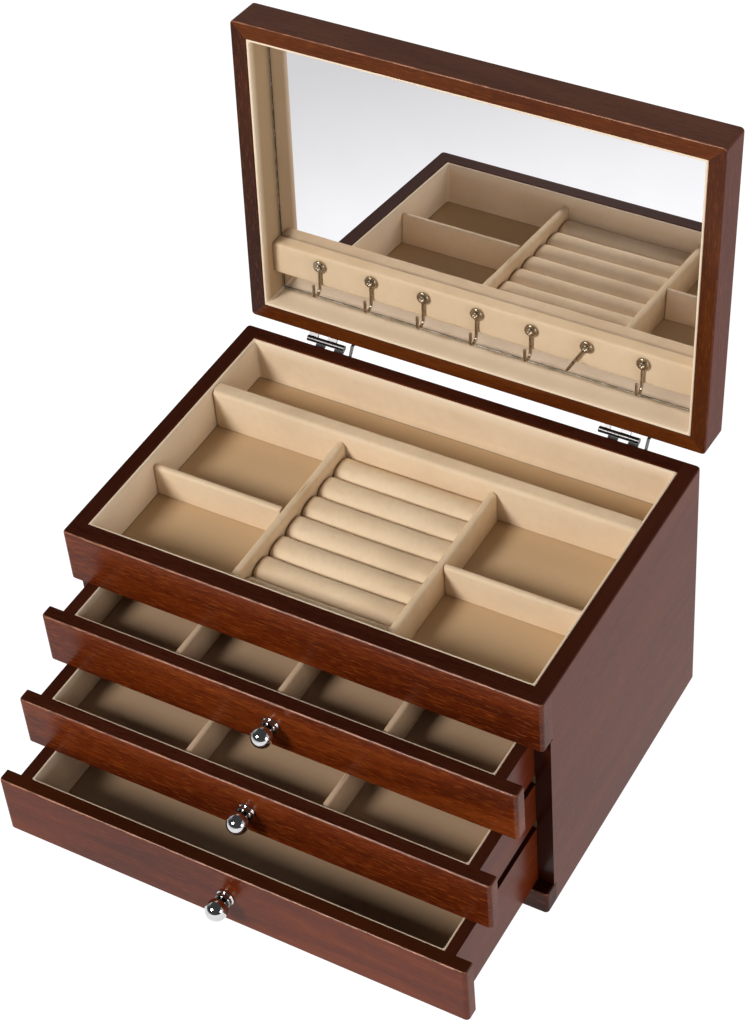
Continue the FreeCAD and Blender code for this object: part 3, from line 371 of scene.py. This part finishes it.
NODE_FINISH = {
    "case_left_side": CASE_Y, "case_right_side": CASE_Y, "case_front_rail": CASE_X, "case_base_rail": BASE_SHADED_X,
    "case_back_panel": CASE_X, "case_base_board": BOARD, "tray_board": BOARD, "upper_shelf": BOARD,
    "lower_shelf": BOARD, "feet": RUBBER, "lid_front_rail": LID_X, "lid_back_rail": LID_X,
    "lid_left_rail": LID_SHADED_Z, "lid_right_rail": LID_Z, "lid_top_panel": LID_X, "lid_mirror": MIRROR,
    "hook_screws": STEEL, "hinge_pins": STEEL, "case_hinge_leaves": STEEL, "lid_hinge_leaves": STEEL,
    "tray_lining": TRAY_VELVET, "tray_cross_divider": TRAY_VELVET, "tray_long_dividers": TRAY_VELVET,
    "tray_short_dividers": TRAY_VELVET, "ring_rolls": TRAY_VELVET, "lid_lining": TRAY_VELVET,
    "hook_bar": TRAY_VELVET,
}
DRAWER_FINISH = {"front": CASE_X, "left_side": CASE_Y, "right_side": CASE_Y, "back": CASE_X, "bottom": BOARD,
                 "lining": DRAWER_VELVET, "dividers": DRAWER_VELVET, "knob": CHROME, "knob_screw": STEEL}

for name, node in nodes.items():
    if name == "drawer_bottom_front":
        material = CALM_X
    elif name.startswith("drawer_"):
        material = DRAWER_FINISH[name.split("_", 2)[2]]
    else:
        material = NODE_FINISH.get(name, NICKEL)
    node.data.materials.clear()
    node.data.materials.append(material)


# Mesh building

def arc(centre, radius, start, end, steps):
    """Points along an arc in a plane, from one angle in degrees to another."""
    turns = [math.radians(start + (end - start) * i / steps) for i in range(steps + 1)]
    return [(centre[0] + radius * math.cos(a), centre[1] + radius * math.sin(a)) for a in turns]


def between(first, last, count):
    """Evenly spaced places from first to last, both ends included."""
    return [first + (last - first) * i / count for i in range(count + 1)]


def rounded_rectangle(low, high, corner, runs, steps=4):
    """Points once round a rectangle with rounded corners; runs are the parts of its X and Y sides."""
    turns = [
        arc((high[0] - corner, high[1] - corner), corner, 0, 90, steps),
        arc((low[0] + corner, high[1] - corner), corner, 90, 180, steps),
        arc((low[0] + corner, low[1] + corner), corner, 180, 270, steps),
        arc((high[0] - corner, low[1] + corner), corner, 270, 360, steps),
    ]
    points = []
    for i, turn in enumerate(turns):
        first, last = Vector(turn[-1]), Vector(turns[(i + 1) % 4][0])
        points += turn + [tuple(p) for p in between(first, last, runs[i % 2])[1:-1]]
    return points


def inset_ring(low, high, inset, z, corner, runs, steps=4):
    """Points once round a box at a height, at a distance in from its sides."""
    near = (low.x + inset, low.y + inset)
    far = (high.x - inset, high.y - inset)
    return [(x, y, z) for x, y in rounded_rectangle(near, far, corner, runs, steps)]


def uneven(point, seed, size, height):
    """A small smooth offset that differs from place to place."""
    return height * noise.noise(Vector(point) / size + Vector((seed, 0.37 * seed, 0.71 * seed)))


def enclosed_volume(faces):
    """The volume inside a closed skin, negative where its faces point inwards."""
    total = 0.0
    for face in faces:
        first, *others = [vertex.co for vertex in face.verts]
        for second, third in zip(others, others[1:]):
            total += first.dot(second.cross(third)) / 6
    return total


def loft(bm, rings, closed=False):
    """Joins rings of points into a skin that faces outwards, capped at its two ends or closed end to end."""
    rows = [[bm.verts.new(point) for point in ring] for ring in rings]
    faces = []
    for row, following in zip(rows, rows[1:] + rows[:1] if closed else rows[1:]):
        for i in range(len(row)):
            j = (i + 1) % len(row)
            faces.append(bm.faces.new((row[i], row[j], following[j], following[i])))
    if not closed:
        faces.append(bm.faces.new(list(reversed(rows[0]))))
        faces.append(bm.faces.new(rows[-1]))
    if enclosed_volume(faces) < 0:
        bmesh.ops.reverse_faces(bm, faces=faces)
    return rows


def as_mesh(bm, name):
    """A plain mesh from one under construction."""
    mesh = bpy.data.meshes.new(name)
    bm.to_mesh(mesh)
    bm.free()
    return mesh


def evaluated_mesh(thing):
    """A plain mesh of an object with its modifiers worked out."""
    graph = bpy.context.evaluated_depsgraph_get()
    return bpy.data.meshes.new_from_object(thing.evaluated_get(graph))


def make_piece(name, bm, material, body, slot, *replaced, smooth=True):
    """A mesh as a piece of the object: it rides on a body and may stand for CAD nodes."""
    for face in bm.faces:
        face.smooth = smooth
    mesh = as_mesh(bm, name)
    mesh.materials.append(material)
    piece = bpy.data.objects.new(name, mesh)
    bpy.context.scene.collection.objects.link(piece)
    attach(piece, body)
    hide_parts(*replaced)
    return piece


# Velvet linings and dividers

def marked_mesh():
    """A new mesh whose points can be marked as a rim, a seam or a floor, for the velvet's colour: a painted
    highlight on a rim, painted shade in a seam or on a floor.
    """
    bm = bmesh.new()
    for mark in ("rim", "seam", "floor"):
        bm.verts.layers.float.new(mark)
    return bm


def mark_rows(bm, rows, marks):
    for row, mark in zip(rows, marks):
        if mark:
            layer = bm.verts.layers.float[mark]
            for vertex in row:
                vertex[layer] = 1.0


def card_rings(low, high, card, stations):
    """Rings of points for velvet over card, with sharp outside corners and rounded inside ones."""
    runs = [round((high[i] - low[i]) / WALL_STEP) for i in (0, 1)]
    rings = []
    for inset, z in stations:
        corner = INSIDE_CORNER if inset > card / 2 else CARD_CORNER
        rings.append(inset_ring(low, high, inset, z, corner, runs))
    return rings


def lining_box(name, node, card, material, body, slot, seed, left_wall_light=0.0):
    """Velvet over card: an open box with a soft rim, rounded inside, its floor not quite flat."""
    low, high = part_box(node)
    half = card / 2
    floor = low.z + card
    rim = [(half - half * math.cos(a), high.z - half + half * math.sin(a))
           for a in between(0, math.pi, 6)]
    wall = [(card, z) for z in between(high.z - half, floor + SEAM_DEPTH, 4)[1:]]
    seam = [(card + 0.3 * SEAM_WIDTH, floor - 0.6 * SEAM_DEPTH),
            (card + 0.6 * SEAM_WIDTH, floor - SEAM_DEPTH)]
    turned = card + 1.5 * SEAM_WIDTH
    reach = min(high.x - low.x, high.y - low.y) / 2 - INSIDE_CORNER - MM
    middle = [(card + SEAM_WIDTH, floor - 0.3 * SEAM_DEPTH)]
    middle += [(inset, floor) for inset in between(turned, reach, 8)]
    bm = marked_mesh()
    # Rows are marked: a painted highlight on the rim, painted shade in the seam groove and on the floor.
    stations = [(0, low.z)] + rim + wall + seam + middle
    marks = [None] + ["rim"] * len(rim) + [None] * len(wall) + ["seam"] * len(seam) + ["floor"] * len(middle)
    rows = loft(bm, card_rings(low, high, card, stations))
    mark_rows(bm, rows, marks)
    # Walls at the left take painted light through their rim mark, by the given share.
    brushed_and_lit = bm.verts.layers.float["rim"]
    for row in rows[1 + len(rim):1 + len(rim) + len(wall)]:
        for vertex in row:
            if vertex.co.x < low.x + card + WALL_GRIP:
                vertex[brushed_and_lit] = left_wall_light
    centre = (low + high) / 2
    for row in rows[1 + len(rim):]:
        for vertex in row:
            inward = Vector((centre.x - vertex.co.x, centre.y - vertex.co.y, 0)).normalized()
            vertex.co += inward * uneven(vertex.co, seed, *WALL_WAVE)
            vertex.co.z += abs(uneven(vertex.co, seed + 5, *FLOOR_WAVE))
    return make_piece(name, bm, material, body, slot, node)


def board_section(low, high, front_round, back_round):
    """Cross-section of a covered board, as (side, height) points: all four corners are rounded."""
    foot = BOARD_FOOT_ROUND
    front_foot = arc((low[0] + foot, low[1] + foot), foot, 270, 180, 3)
    front = arc((low[0] + front_round, high[1] - front_round), front_round, 180, 90, 6)
    back = arc((high[0] - back_round, high[1] - back_round), back_round, 90, 0, 6)
    back_foot = arc((high[0] - foot, low[1] + foot), foot, 0, -90, 3)
    rise = between(low[1] + foot, high[1] - max(front_round, back_round), 3)[1:-1]
    front_side = front_foot + [(low[0], z) for z in rise] + front
    return front_side + back + [(high[0], z) for z in reversed(rise)] + back_foot


def covered_board(bm, section, start, end, place, seed):
    """Carries a cross-section from start to end, with the cover drawn in a little at both ends."""
    draw = BOARD_DRAW_IN
    count = max(4, round((end - start) / BOARD_STEP))
    middle = (sum(p[0] for p in section) / len(section), sum(p[1] for p in section) / len(section))
    drawn_in = ((0.0, 0.66), (0.1, 0.8), (0.35, 0.93), (0.65, 0.985))
    stations = [(start + share * draw, size) for share, size in drawn_in]
    stations += [(s, 1.0) for s in between(start + draw, end - draw, count)]
    stations += [(end - share * draw, size) for share, size in reversed(drawn_in)]
    lowest = min(height for side, height in section)
    # The foot of the board is marked for painted shade where it meets the floor.
    marks = [0.8 if height < lowest + 0.6 * BOARD_FOOT_ROUND else 0.0 for side, height in section]
    rings = []
    for s, size in stations:
        ring = []
        for side, height in section:
            side = middle[0] + (side - middle[0]) * size
            swell = uneven((s, side, height), seed, *BOARD_WAVE)
            side += swell if side > middle[0] else -swell
            ring.append(place(side, s, height))
        rings.append(ring)
    seam = bm.verts.layers.float["seam"]
    for row in loft(bm, rings):
        for vertex, mark in zip(row, marks):
            vertex[seam] = mark


def along_x(side, s, height):
    return Vector((s, side, height))


def along_y(side, s, height):
    return Vector((side, s, height))


def tray_dividers():
    low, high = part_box("tray_cross_divider")
    bm = marked_mesh()
    section = board_section((low.y, low.z), (high.y, high.z), CROSS_FRONT_ROUND, CROSS_BACK_ROUND)
    covered_board(bm, section, low.x, high.x, along_x, 3)
    make_piece("tray_cross_divider_velvet", bm, TRAY_VELVET, "case", "tray_velvet", "tray_cross_divider")
    low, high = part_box("tray_long_dividers")
    bm = marked_mesh()
    for seed, left in enumerate((low.x, high.x - DIVIDER_THICKNESS)):
        right = left + DIVIDER_THICKNESS
        top_round = DIVIDER_TOP_ROUND * DIVIDER_THICKNESS
        section = board_section((left, low.z), (right, high.z), top_round, top_round)
        covered_board(bm, section, low.y, high.y, along_y, 7 + seed)
    make_piece("tray_long_dividers_velvet", bm, TRAY_VELVET, "case", "tray_velvet", "tray_long_dividers")
    low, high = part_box("tray_short_dividers")
    bm = marked_mesh()
    for seed, left in enumerate((low.x, high.x - SHORT_DIVIDER_LENGTH)):
        top_round = DIVIDER_TOP_ROUND * (high.y - low.y)
        section = board_section((low.y, low.z), (high.y, high.z), top_round, top_round)
        covered_board(bm, section, left, left + SHORT_DIVIDER_LENGTH, along_x, 11 + seed)
    make_piece("tray_short_dividers_velvet", bm, TRAY_VELVET, "case", "tray_velvet", "tray_short_dividers")


def drawer_dividers(body, count, seed):
    low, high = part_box(f"{body}_dividers")
    bm = marked_mesh()
    top_round = DIVIDER_TOP_ROUND * DRAWER_DIVIDER_THICKNESS
    for i, left in enumerate(between(low.x, high.x - DRAWER_DIVIDER_THICKNESS, count - 1)):
        right = left + DRAWER_DIVIDER_THICKNESS
        section = board_section((left, low.z), (right, high.z), top_round, top_round)
        covered_board(bm, section, low.y + DRAWER_DIVIDER_GAP, high.y - DRAWER_DIVIDER_GAP, along_y, seed + i)
    make_piece(f"{body}_dividers_velvet", bm, DRAWER_VELVET, body, "drawer_velvet", f"{body}_dividers")


lining_box("tray_lining_velvet", "tray_lining", TRAY_CARD, TRAY_VELVET, "case", "tray_velvet", 1, 0.85)
tray_dividers()
for seed, body in enumerate(DRAWERS):
    lining_box(f"{body}_lining_velvet", f"{body}_lining", DRAWER_CARD, DRAWER_VELVET, body, "drawer_velvet",
               20 + seed)
drawer_dividers("drawer_top", 3, 31)
drawer_dividers("drawer_middle", 2, 37)


# Ring rolls

SIM_SCALE = 10.0


def squared(part):
    """A sine or cosine bent so that the circle it draws comes out squarer."""
    return math.copysign(abs(part) ** ROLL_SQUARENESS, part)


def roll_blank(length, width, height):
    """A roll before it is stuffed: slimmer than its place, flat underneath and blunt at both ends."""
    bm = bmesh.new()
    middle = 0.44 * height
    section = []
    for turn in between(math.radians(-52), math.radians(232), 34):
        up = middle + 0.52 * height * squared(math.sin(turn))
        section.append((0.485 * width * squared(math.cos(turn)), max(0.0, up)))
    rings = []
    for s, size in ((-0.5, 0.86), (-0.488, 0.97), (-0.46, 1.0), (0.46, 1.0), (0.488, 0.97), (0.5, 0.86)):
        rings.append([(s * length, y * size, middle + (z - middle) * size if z > 0 else 0.0)
                      for y, z in section])
    loft(bm, rings)
    return bm


def stuffed_roll(length, width, height):
    """One ring roll, a velvet sleeve swelled by its foam under cloth simulation; gives a mesh at SIM_SCALE
    times its size.
    """
    bm = roll_blank(length * SIM_SCALE, width * SIM_SCALE, height * SIM_SCALE)
    roll = bpy.data.objects.new("roll_blank", as_mesh(bm, "roll_blank"))
    bpy.context.scene.collection.objects.link(roll)
    remesh = roll.modifiers.new("remesh", "REMESH")
    remesh.mode = "VOXEL"
    remesh.voxel_size = ROLL_VOXEL * SIM_SCALE
    even = evaluated_mesh(roll)
    roll.modifiers.clear()
    roll.data = even
    start = [vertex.co.copy() for vertex in even.vertices]
    glued = roll.vertex_groups.new(name="glued")
    glued.add([v.index for v in even.vertices if v.co.z < 0.1 * height * SIM_SCALE], 1.0, "ADD")
    cloth = roll.modifiers.new("cloth", "CLOTH")
    cloth.settings.quality = 5
    cloth.settings.mass = 0.3
    cloth.settings.vertex_group_mass = "glued"
    cloth.settings.use_pressure = True
    cloth.settings.uniform_pressure_force = 4.0
    cloth.settings.effector_weights.gravity = 0.0
    for step in range(1, 21):
        bpy.context.scene.frame_set(step)
    swelled = evaluated_mesh(roll)
    roll.modifiers.clear()
    roll.data = swelled
    bpy.context.scene.frame_set(1)
    most = ROLL_SWELL * SIM_SCALE
    for vertex, before in zip(roll.data.vertices, start):
        moved = vertex.co - before
        if moved.length > most:
            vertex.co = before + moved.normalized() * most
    done = roll.data
    bpy.data.objects.remove(roll)
    return done


def ring_rolls():
    low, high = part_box("ring_rolls")
    length, pitch, height = high.x - low.x, (high.y - low.y) / ROLL_COUNT, high.z - low.z
    roll = stuffed_roll(length, pitch, height)
    bm = bmesh.new()
    for i in range(ROLL_COUNT):
        copy = bmesh.new()
        copy.from_mesh(roll)
        copy.transform(Matrix.Scale(1 / SIM_SCALE, 4))
        copy.transform(Matrix.Diagonal(((-1) ** i, (-1) ** (i // 2), 1, 1)))
        centre = Vector(((low.x + high.x) / 2, low.y + (i + 0.5) * pitch, low.z))
        for vertex in copy.verts:
            swell = uneven(vertex.co, 50 + 3 * i, *ROLL_WAVE)
            vertex.co.z = max(0.0, vertex.co.z * (1 + swell / height))
            vertex.co.y = max(-pitch / 2, min(pitch / 2, vertex.co.y))
            vertex.co.x = max(-length / 2, min(length / 2, vertex.co.x))
        copy.transform(Matrix.Translation(centre))
        if enclosed_volume(copy.faces) < 0:
            bmesh.ops.reverse_faces(copy, faces=copy.faces)
        mesh = as_mesh(copy, "roll")
        bm.from_mesh(mesh)
        bpy.data.meshes.remove(mesh)
    piece = make_piece("ring_roll_pads", bm, TRAY_VELVET, "case", "tray_velvet", "ring_rolls")
    smooth = piece.modifiers.new("smooth", "SUBSURF")
    smooth.levels = smooth.render_levels = 1


ring_rolls()


# Lid

def shut_box(node):
    """A lid node's lowest and highest corners with the lid shut, measured from the hinge axis."""
    places = [LID_SHUT @ vertex.co for vertex in nodes[node].data.vertices]
    return tuple(Vector([pick(p[i] for p in places) for i in range(3)]) for pick in (min, max))


def open_lid(bm):
    bm.transform(LID_OPEN)


def lid_lining():
    """A velvet band round the inside of the lid, folded over its rim."""
    low, high = shut_box("lid_lining")
    half = TRAY_CARD / 2
    rim = [(half + half * math.cos(a), low.z + half - half * math.sin(a)) for a in between(0, math.pi, 6)]
    stations = rim + [(0, high.z), (TRAY_CARD, high.z)]
    stations += [(TRAY_CARD, z) for z in between(high.z, low.z + half, 4)[1:-1]]
    bm = marked_mesh()
    rows = loft(bm, card_rings(low, high, TRAY_CARD, stations), closed=True)
    mark_rows(bm, rows, ["rim"] * len(rim))
    rim_light_layer = bm.verts.layers.float["rim"]
    shaded_floor_layer = bm.verts.layers.float["floor"]
    shaded_seam_layer = bm.verts.layers.float["seam"]
    for row in rows[len(rim):]:
        for vertex in row:
            # The strip on the hinge side takes painted light through its rim mark.
            if vertex.co.y > high.y - TRAY_CARD - WALL_GRIP:
                vertex[rim_light_layer] = 0.8
            # The left strip is darkened with painted shade through its floor and seam marks.
            elif vertex.co.x < low.x + TRAY_CARD + WALL_GRIP:
                vertex[shaded_floor_layer] = 1.0
                vertex[shaded_seam_layer] = 0.45
    open_lid(bm)
    make_piece("lid_lining_velvet", bm, TRAY_VELVET, "lid", "tray_velvet", "lid_lining")


def hook_bar():
    """The padded bar that carries the hooks, drawn in round each screw."""
    low, high = shut_box("hook_bar")
    screws = [LID_SHUT @ Vector(joint["pos_m"]) for joint in HOOK_JOINTS]
    section = rounded_rectangle((low.y, low.z), (high.y, high.z), HOOK_BAR_ROUND, (8, 4))
    draw = HOOK_BAR_DRAW_IN
    count = round((high.x - low.x) / HOOK_BAR_STEP)
    stations = [(low.x, 0.9), (low.x + 0.4 * draw, 0.97)]
    stations += [(x, 1.0) for x in between(low.x + draw, high.x - draw, count)]
    stations += [(high.x - 0.4 * draw, 0.97), (high.x, 0.9)]
    middle = (low + high) / 2
    bm = marked_mesh()
    rings = []
    for x, size in stations:
        ring = []
        for y, z in section:
            point = Vector((x, middle.y + (y - middle.y) * size, middle.z + (z - middle.z) * size))
            if z < middle.z:
                near = min((Vector((x, y)) - s.xy).length for s in screws)
                dip = SCREW_DIP * math.exp(-(near / SCREW_DIP_REACH) ** 2)
                point.z += dip + abs(uneven(point, 61, *HOOK_BAR_WAVE))
            ring.append(point)
        rings.append(ring)
    # The whole bar is darkened with painted shade through its floor mark.
    shade = bm.verts.layers.float["floor"]
    for row in loft(bm, rings):
        for vertex in row:
            vertex[shade] = HOOK_BAR_PAINTED_SHADE
    open_lid(bm)
    piece = make_piece("hook_bar_velvet", bm, TRAY_VELVET, "lid", "tray_velvet", "hook_bar")


def frame_ring(low, high, inset, z):
    """Once round a plate of the shut lid, at a distance in from its edge."""
    return inset_ring(low, high, inset, z, CARD_CORNER, (4, 4), 2)


def mirror():
    """A plate of silvered glass with a narrow ground edge where the lining stops."""
    low, high = shut_box("lid_mirror")
    lining_low, lining_high = shut_box("lid_lining")
    step = low.z + GROUND_DEPTH
    inner = TRAY_CARD + GROUND_WIDTH
    bm = bmesh.new()
    loft(bm, [frame_ring(low, high, 0, high.z),
              frame_ring(low, high, 0, step),
              frame_ring(lining_low, lining_high, inner, step),
              frame_ring(lining_low, lining_high, inner, low.z)])
    open_lid(bm)
    make_piece("mirror_plate", bm, MIRROR, "lid", "mirror_glass", "lid_mirror", smooth=False)
    bm = bmesh.new()
    pale = bm.verts.layers.float.new("pale")
    rows = loft(bm, [frame_ring(lining_low, lining_high, TRAY_CARD - GROUND_TUCK, step),
                     frame_ring(lining_low, lining_high, inner, low.z),
                     frame_ring(lining_low, lining_high, inner, step)], closed=True)
    # The outer ring is marked for the pale band and its painted glints.
    for vertex in rows[0]:
        vertex[pale] = 1.0
    open_lid(bm)
    make_piece("mirror_ground_edge", bm, GROUND_EDGE, "lid", "mirror_glass", "lid_mirror", smooth=False)


lid_lining()
hook_bar()
mirror()


# Hook screws

def screw():
    """One pan-head screw standing on the origin, its head up Z, with a cross recess."""
    profile = [(-7.0, 1.0), (-0.05, 1.0), (0.0, 1.75), (0.1, 1.9), (0.5, 1.92), (0.72, 1.85), (0.88, 1.65),
               (0.94, 1.4), (0.95, 1.2), (0.95, 1.0), (0.95, 0.8), (0.95, 0.6), (0.95, 0.4), (0.95, 0.2)]
    recess_top, recess_reach, recess_half_width, recess_depth = 0.9, 1.3, 0.32, 0.55
    bm = bmesh.new()
    rings = []
    for z, radius in profile:
        ring = []
        for turn in between(0, 2 * math.pi, 48)[:-1]:
            x, y = radius * math.cos(turn), radius * math.sin(turn)
            on_top = z > recess_top and radius < recess_reach
            slot = on_top and min(abs(x), abs(y)) < recess_half_width
            ring.append((x * MM, y * MM, (z - recess_depth if slot else z) * MM))
        rings.append(ring)
    loft(bm, rings)
    return as_mesh(bm, "screw")


def row_of_copies(material):
    """A node tree that sets copies of a mesh in a row along X, with their count and pitch as inputs."""
    tree = bpy.data.node_groups.new("row_of_copies", "GeometryNodeTree")
    face = tree.interface
    face.new_socket("Geometry", in_out="INPUT", socket_type="NodeSocketGeometry")
    count = face.new_socket("Count", in_out="INPUT", socket_type="NodeSocketInt")
    pitch = face.new_socket("Pitch", in_out="INPUT", socket_type="NodeSocketFloat")
    face.new_socket("Geometry", in_out="OUTPUT", socket_type="NodeSocketGeometry")
    given = tree.nodes.new("NodeGroupInput")
    step = tree.nodes.new("ShaderNodeCombineXYZ")
    row = tree.nodes.new("GeometryNodeMeshLine")
    copies = tree.nodes.new("GeometryNodeInstanceOnPoints")
    real = tree.nodes.new("GeometryNodeRealizeInstances")
    dress = tree.nodes.new("GeometryNodeSetMaterial")
    result = tree.nodes.new("NodeGroupOutput")
    dress.inputs["Material"].default_value = material
    for source, target in (
            (given.outputs["Pitch"], step.inputs["X"]),
            (given.outputs["Count"], row.inputs["Count"]),
            (step.outputs["Vector"], row.inputs["Offset"]),
            (row.outputs["Mesh"], copies.inputs["Points"]),
            (given.outputs["Geometry"], copies.inputs["Instance"]),
            (copies.outputs["Instances"], real.inputs["Geometry"]),
            (real.outputs["Geometry"], dress.inputs["Geometry"]),
            (dress.outputs["Geometry"], result.inputs["Geometry"])):
        tree.links.new(source, target)
    return tree, count.identifier, pitch.identifier


def hook_screws():
    """A row of screws through the hooks' eyes."""
    places = [Vector(joint["pos_m"]) for joint in HOOK_JOINTS]
    places.sort(key=lambda place: place.x)
    out = Vector(HOOK_JOINTS[0]["axis"]).normalized()
    holder = bpy.data.objects.new("screw_row", screw())
    bpy.context.scene.collection.objects.link(holder)
    tree, count, pitch = row_of_copies(SCREW_STEEL)
    rows = holder.modifiers.new("row", "NODES")
    rows.node_group = tree
    rows[count] = len(places)
    rows[pitch] = (places[-1].x - places[0].x) / (len(places) - 1)
    mesh = evaluated_mesh(holder)
    bpy.data.objects.remove(holder)
    across = Vector((1, 0, 0))
    turn = Matrix((across, out.cross(across), out)).transposed().to_4x4()
    bm = bmesh.new()
    bm.from_mesh(mesh)
    bpy.data.meshes.remove(mesh)
    bm.transform(Matrix.Translation(places[0] + out * HOOK_EYE_FACE) @ turn)
    make_piece("hook_screw_heads", bm, SCREW_STEEL, "lid", "screw_steel", "hook_screws")


hook_screws()


# Knobs

def knob_profile():
    """Half outline of a knob, as (distance from the drawer front, radius): collar, neck, ball."""
    collar = [(0.0, 5.0), (0.2, 5.25), (0.5, 5.35), (0.9, 5.3), (1.15, 5.05), (1.3, 4.75), (1.5, 4.6),
              (1.8, 4.7), (2.4, 4.85), (3.0, 4.85), (3.5, 4.7), (3.85, 4.4), (4.05, 4.1), (4.2, 3.9),
              (4.4, 3.8)]
    start = 180 - math.degrees(math.asin(KNOB_NECK / KNOB_BALL))
    ball = [(KNOB_CENTRE + x, r) for x, r in arc((0, 0), KNOB_BALL, start, 1.5, 24)]
    return [(x * MM, r * MM) for x, r in collar] + ball


def knob(body):
    """A turned knob, chromed."""
    low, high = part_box(f"{body}_knob")
    middle = (low + high) / 2
    bm = bmesh.new()
    neck_shade = bm.verts.layers.float.new("neck_shade")
    profile = knob_profile()
    rings = []
    for out, radius in profile:
        turns = between(0, 2 * math.pi, KNOB_SIDES)[:-1]
        rings.append([(middle.x + radius * math.cos(a), high.y - out, middle.z + radius * math.sin(a))
                      for a in turns])
    # The chrome round the neck is marked for a painted dark reflection, fading along the profile.
    for row, (out, radius) in zip(loft(bm, rings), profile):
        for vertex in row:
            vertex[neck_shade] = math.exp(-((out - KNOB_NECK_PLACE) / KNOB_NECK_SHADE_REACH) ** 2)
    make_piece(f"{body}_knob_turned", bm, CHROME, body, "knob_chrome", f"{body}_knob")


for body in DRAWERS:
    knob(body)


# Camera, floor and light

# The photograph's viewpoint, from a fit of the box's corners: turns in degrees, the place in metres from the
# middle of the case's front edge, and the frame in pixels
VIEW_AZIMUTH = 31.864
VIEW_ELEVATION = 43.478
VIEW_ROLL = -4.488
VIEW_PLACE = Vector((0.51848, -0.71038, 1.07761))
FRAME_WIDTH = 745
FRAME_HEIGHT = 1024
FRAME_CENTRE = (408.75, 502.11)
FRAME_FOCAL = 2432.1
LIGHT_AIM = Vector((0, 0, 0.15))


def photograph_camera():
    azimuth, elevation, roll = (math.radians(turn) for turn in (VIEW_AZIMUTH, VIEW_ELEVATION, VIEW_ROLL))
    back = Vector((math.sin(azimuth) * math.cos(elevation), -math.cos(azimuth) * math.cos(elevation),
                   math.sin(elevation)))
    right = Vector((math.cos(azimuth), math.sin(azimuth), 0))
    up = back.cross(right)
    across = right * math.cos(roll) + up * math.sin(roll)
    above = up * math.cos(roll) - right * math.sin(roll)
    data = bpy.data.cameras.new("camera")
    data.sensor_width = 36
    data.lens = FRAME_FOCAL * data.sensor_width / FRAME_HEIGHT
    data.shift_x = (FRAME_WIDTH / 2 - FRAME_CENTRE[0]) / FRAME_HEIGHT
    data.shift_y = (FRAME_CENTRE[1] - FRAME_HEIGHT / 2) / FRAME_HEIGHT
    data.clip_start = 0.05
    data.clip_end = 50
    camera = bpy.data.objects.new("camera", data)
    place = Matrix((across, above, back)).transposed().to_4x4()
    case_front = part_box("case_front_rail")[0].y
    place.translation = VIEW_PLACE + Vector((0, case_front, 0))
    camera.matrix_world = place
    bpy.context.scene.collection.objects.link(camera)
    bpy.context.scene.camera = camera


def floor():
    bm = bmesh.new()
    bmesh.ops.create_grid(bm, x_segments=1, y_segments=1, size=6)
    mesh = as_mesh(bm, "floor")
    sheet = bpy.data.objects.new("floor", mesh)
    bpy.context.scene.collection.objects.link(sheet)
    pale = Finish("pale_floor")
    split = pale.add("ShaderNodeSeparateXYZ")
    pale.link(pale.place, split.inputs["Vector"])
    towards_front = pale.maths("ADD", split.outputs["X"], split.outputs["Y"])
    glow = pale.ramp(pale.mask(towards_front, -0.36, -0.95), [(0.0, (1.0, 1.0, 1.0)), (1.0, (0.6, 0.6, 0.6))])
    pale.surface(Base_Color=(0.1, 0.1, 0.1, 1.0), Roughness=0.9, Emission_Color=glow, Emission_Strength=1.0)
    mesh.materials.append(pale.material)


def soft_light(name, azimuth, elevation, distance, size, power, colour):
    """A round soft light aimed at the middle of the object; azimuth 0 is straight in front of it."""
    turn, rise = math.radians(azimuth), math.radians(elevation)
    towards = Vector((math.sin(turn) * math.cos(rise), -math.cos(turn) * math.cos(rise), math.sin(rise)))
    data = bpy.data.lights.new(name, "AREA")
    data.shape = "DISK"
    data.size = size
    data.energy = power
    data.color = colour
    lamp = bpy.data.objects.new(name, data)
    lamp.location = LIGHT_AIM + distance * towards
    lamp.rotation_euler = towards.to_track_quat("Z", "Y").to_euler()
    bpy.context.scene.collection.objects.link(lamp)


def studio():
    """A pale backdrop behind the object up to a height, with a dim room above it and in front."""
    world = bpy.data.worlds.new("studio")
    world.use_nodes = True
    tree = world.node_tree
    direction = tree.nodes.new("ShaderNodeTexCoord")
    split = tree.nodes.new("ShaderNodeSeparateXYZ")
    tree.links.new(direction.outputs["Generated"], split.inputs["Vector"])
    masks = []
    for axis, low, high in (("Y", -0.3, 0.3), ("Z", 0.66, 0.54)):
        fade = tree.nodes.new("ShaderNodeMapRange")
        fade.interpolation_type = "SMOOTHSTEP"
        fade.inputs["From Min"].default_value = low
        fade.inputs["From Max"].default_value = high
        tree.links.new(split.outputs[axis], fade.inputs["Value"])
        masks.append(fade.outputs["Result"])
    both = tree.nodes.new("ShaderNodeMath")
    both.operation = "MULTIPLY"
    tree.links.new(masks[0], both.inputs[0])
    tree.links.new(masks[1], both.inputs[1])
    level = tree.nodes.new("ShaderNodeMapRange")
    level.inputs["To Min"].default_value = 0.06
    level.inputs["To Max"].default_value = 0.6
    tree.links.new(both.outputs["Value"], level.inputs["Value"])
    tree.links.new(level.outputs["Result"], tree.nodes["Background"].inputs["Strength"])
    tree.nodes["Background"].inputs["Color"].default_value = (1, 1, 1, 1)
    bpy.context.scene.world = world


photograph_camera()
floor()
studio()
bpy.context.scene.view_settings.view_transform = "Standard"
soft_light("front_light", azimuth=-25, elevation=36, distance=3.6, size=1.06, power=112,
           colour=(1.0, 0.965, 0.91))
soft_light("right_light", azimuth=76, elevation=12, distance=2.2, size=0.8, power=12.5,
           colour=(1.0, 0.97, 0.93))
soft_light("side_light", azimuth=108, elevation=10, distance=2.2, size=0.6, power=2.7,
           colour=(1.0, 1.0, 1.0))
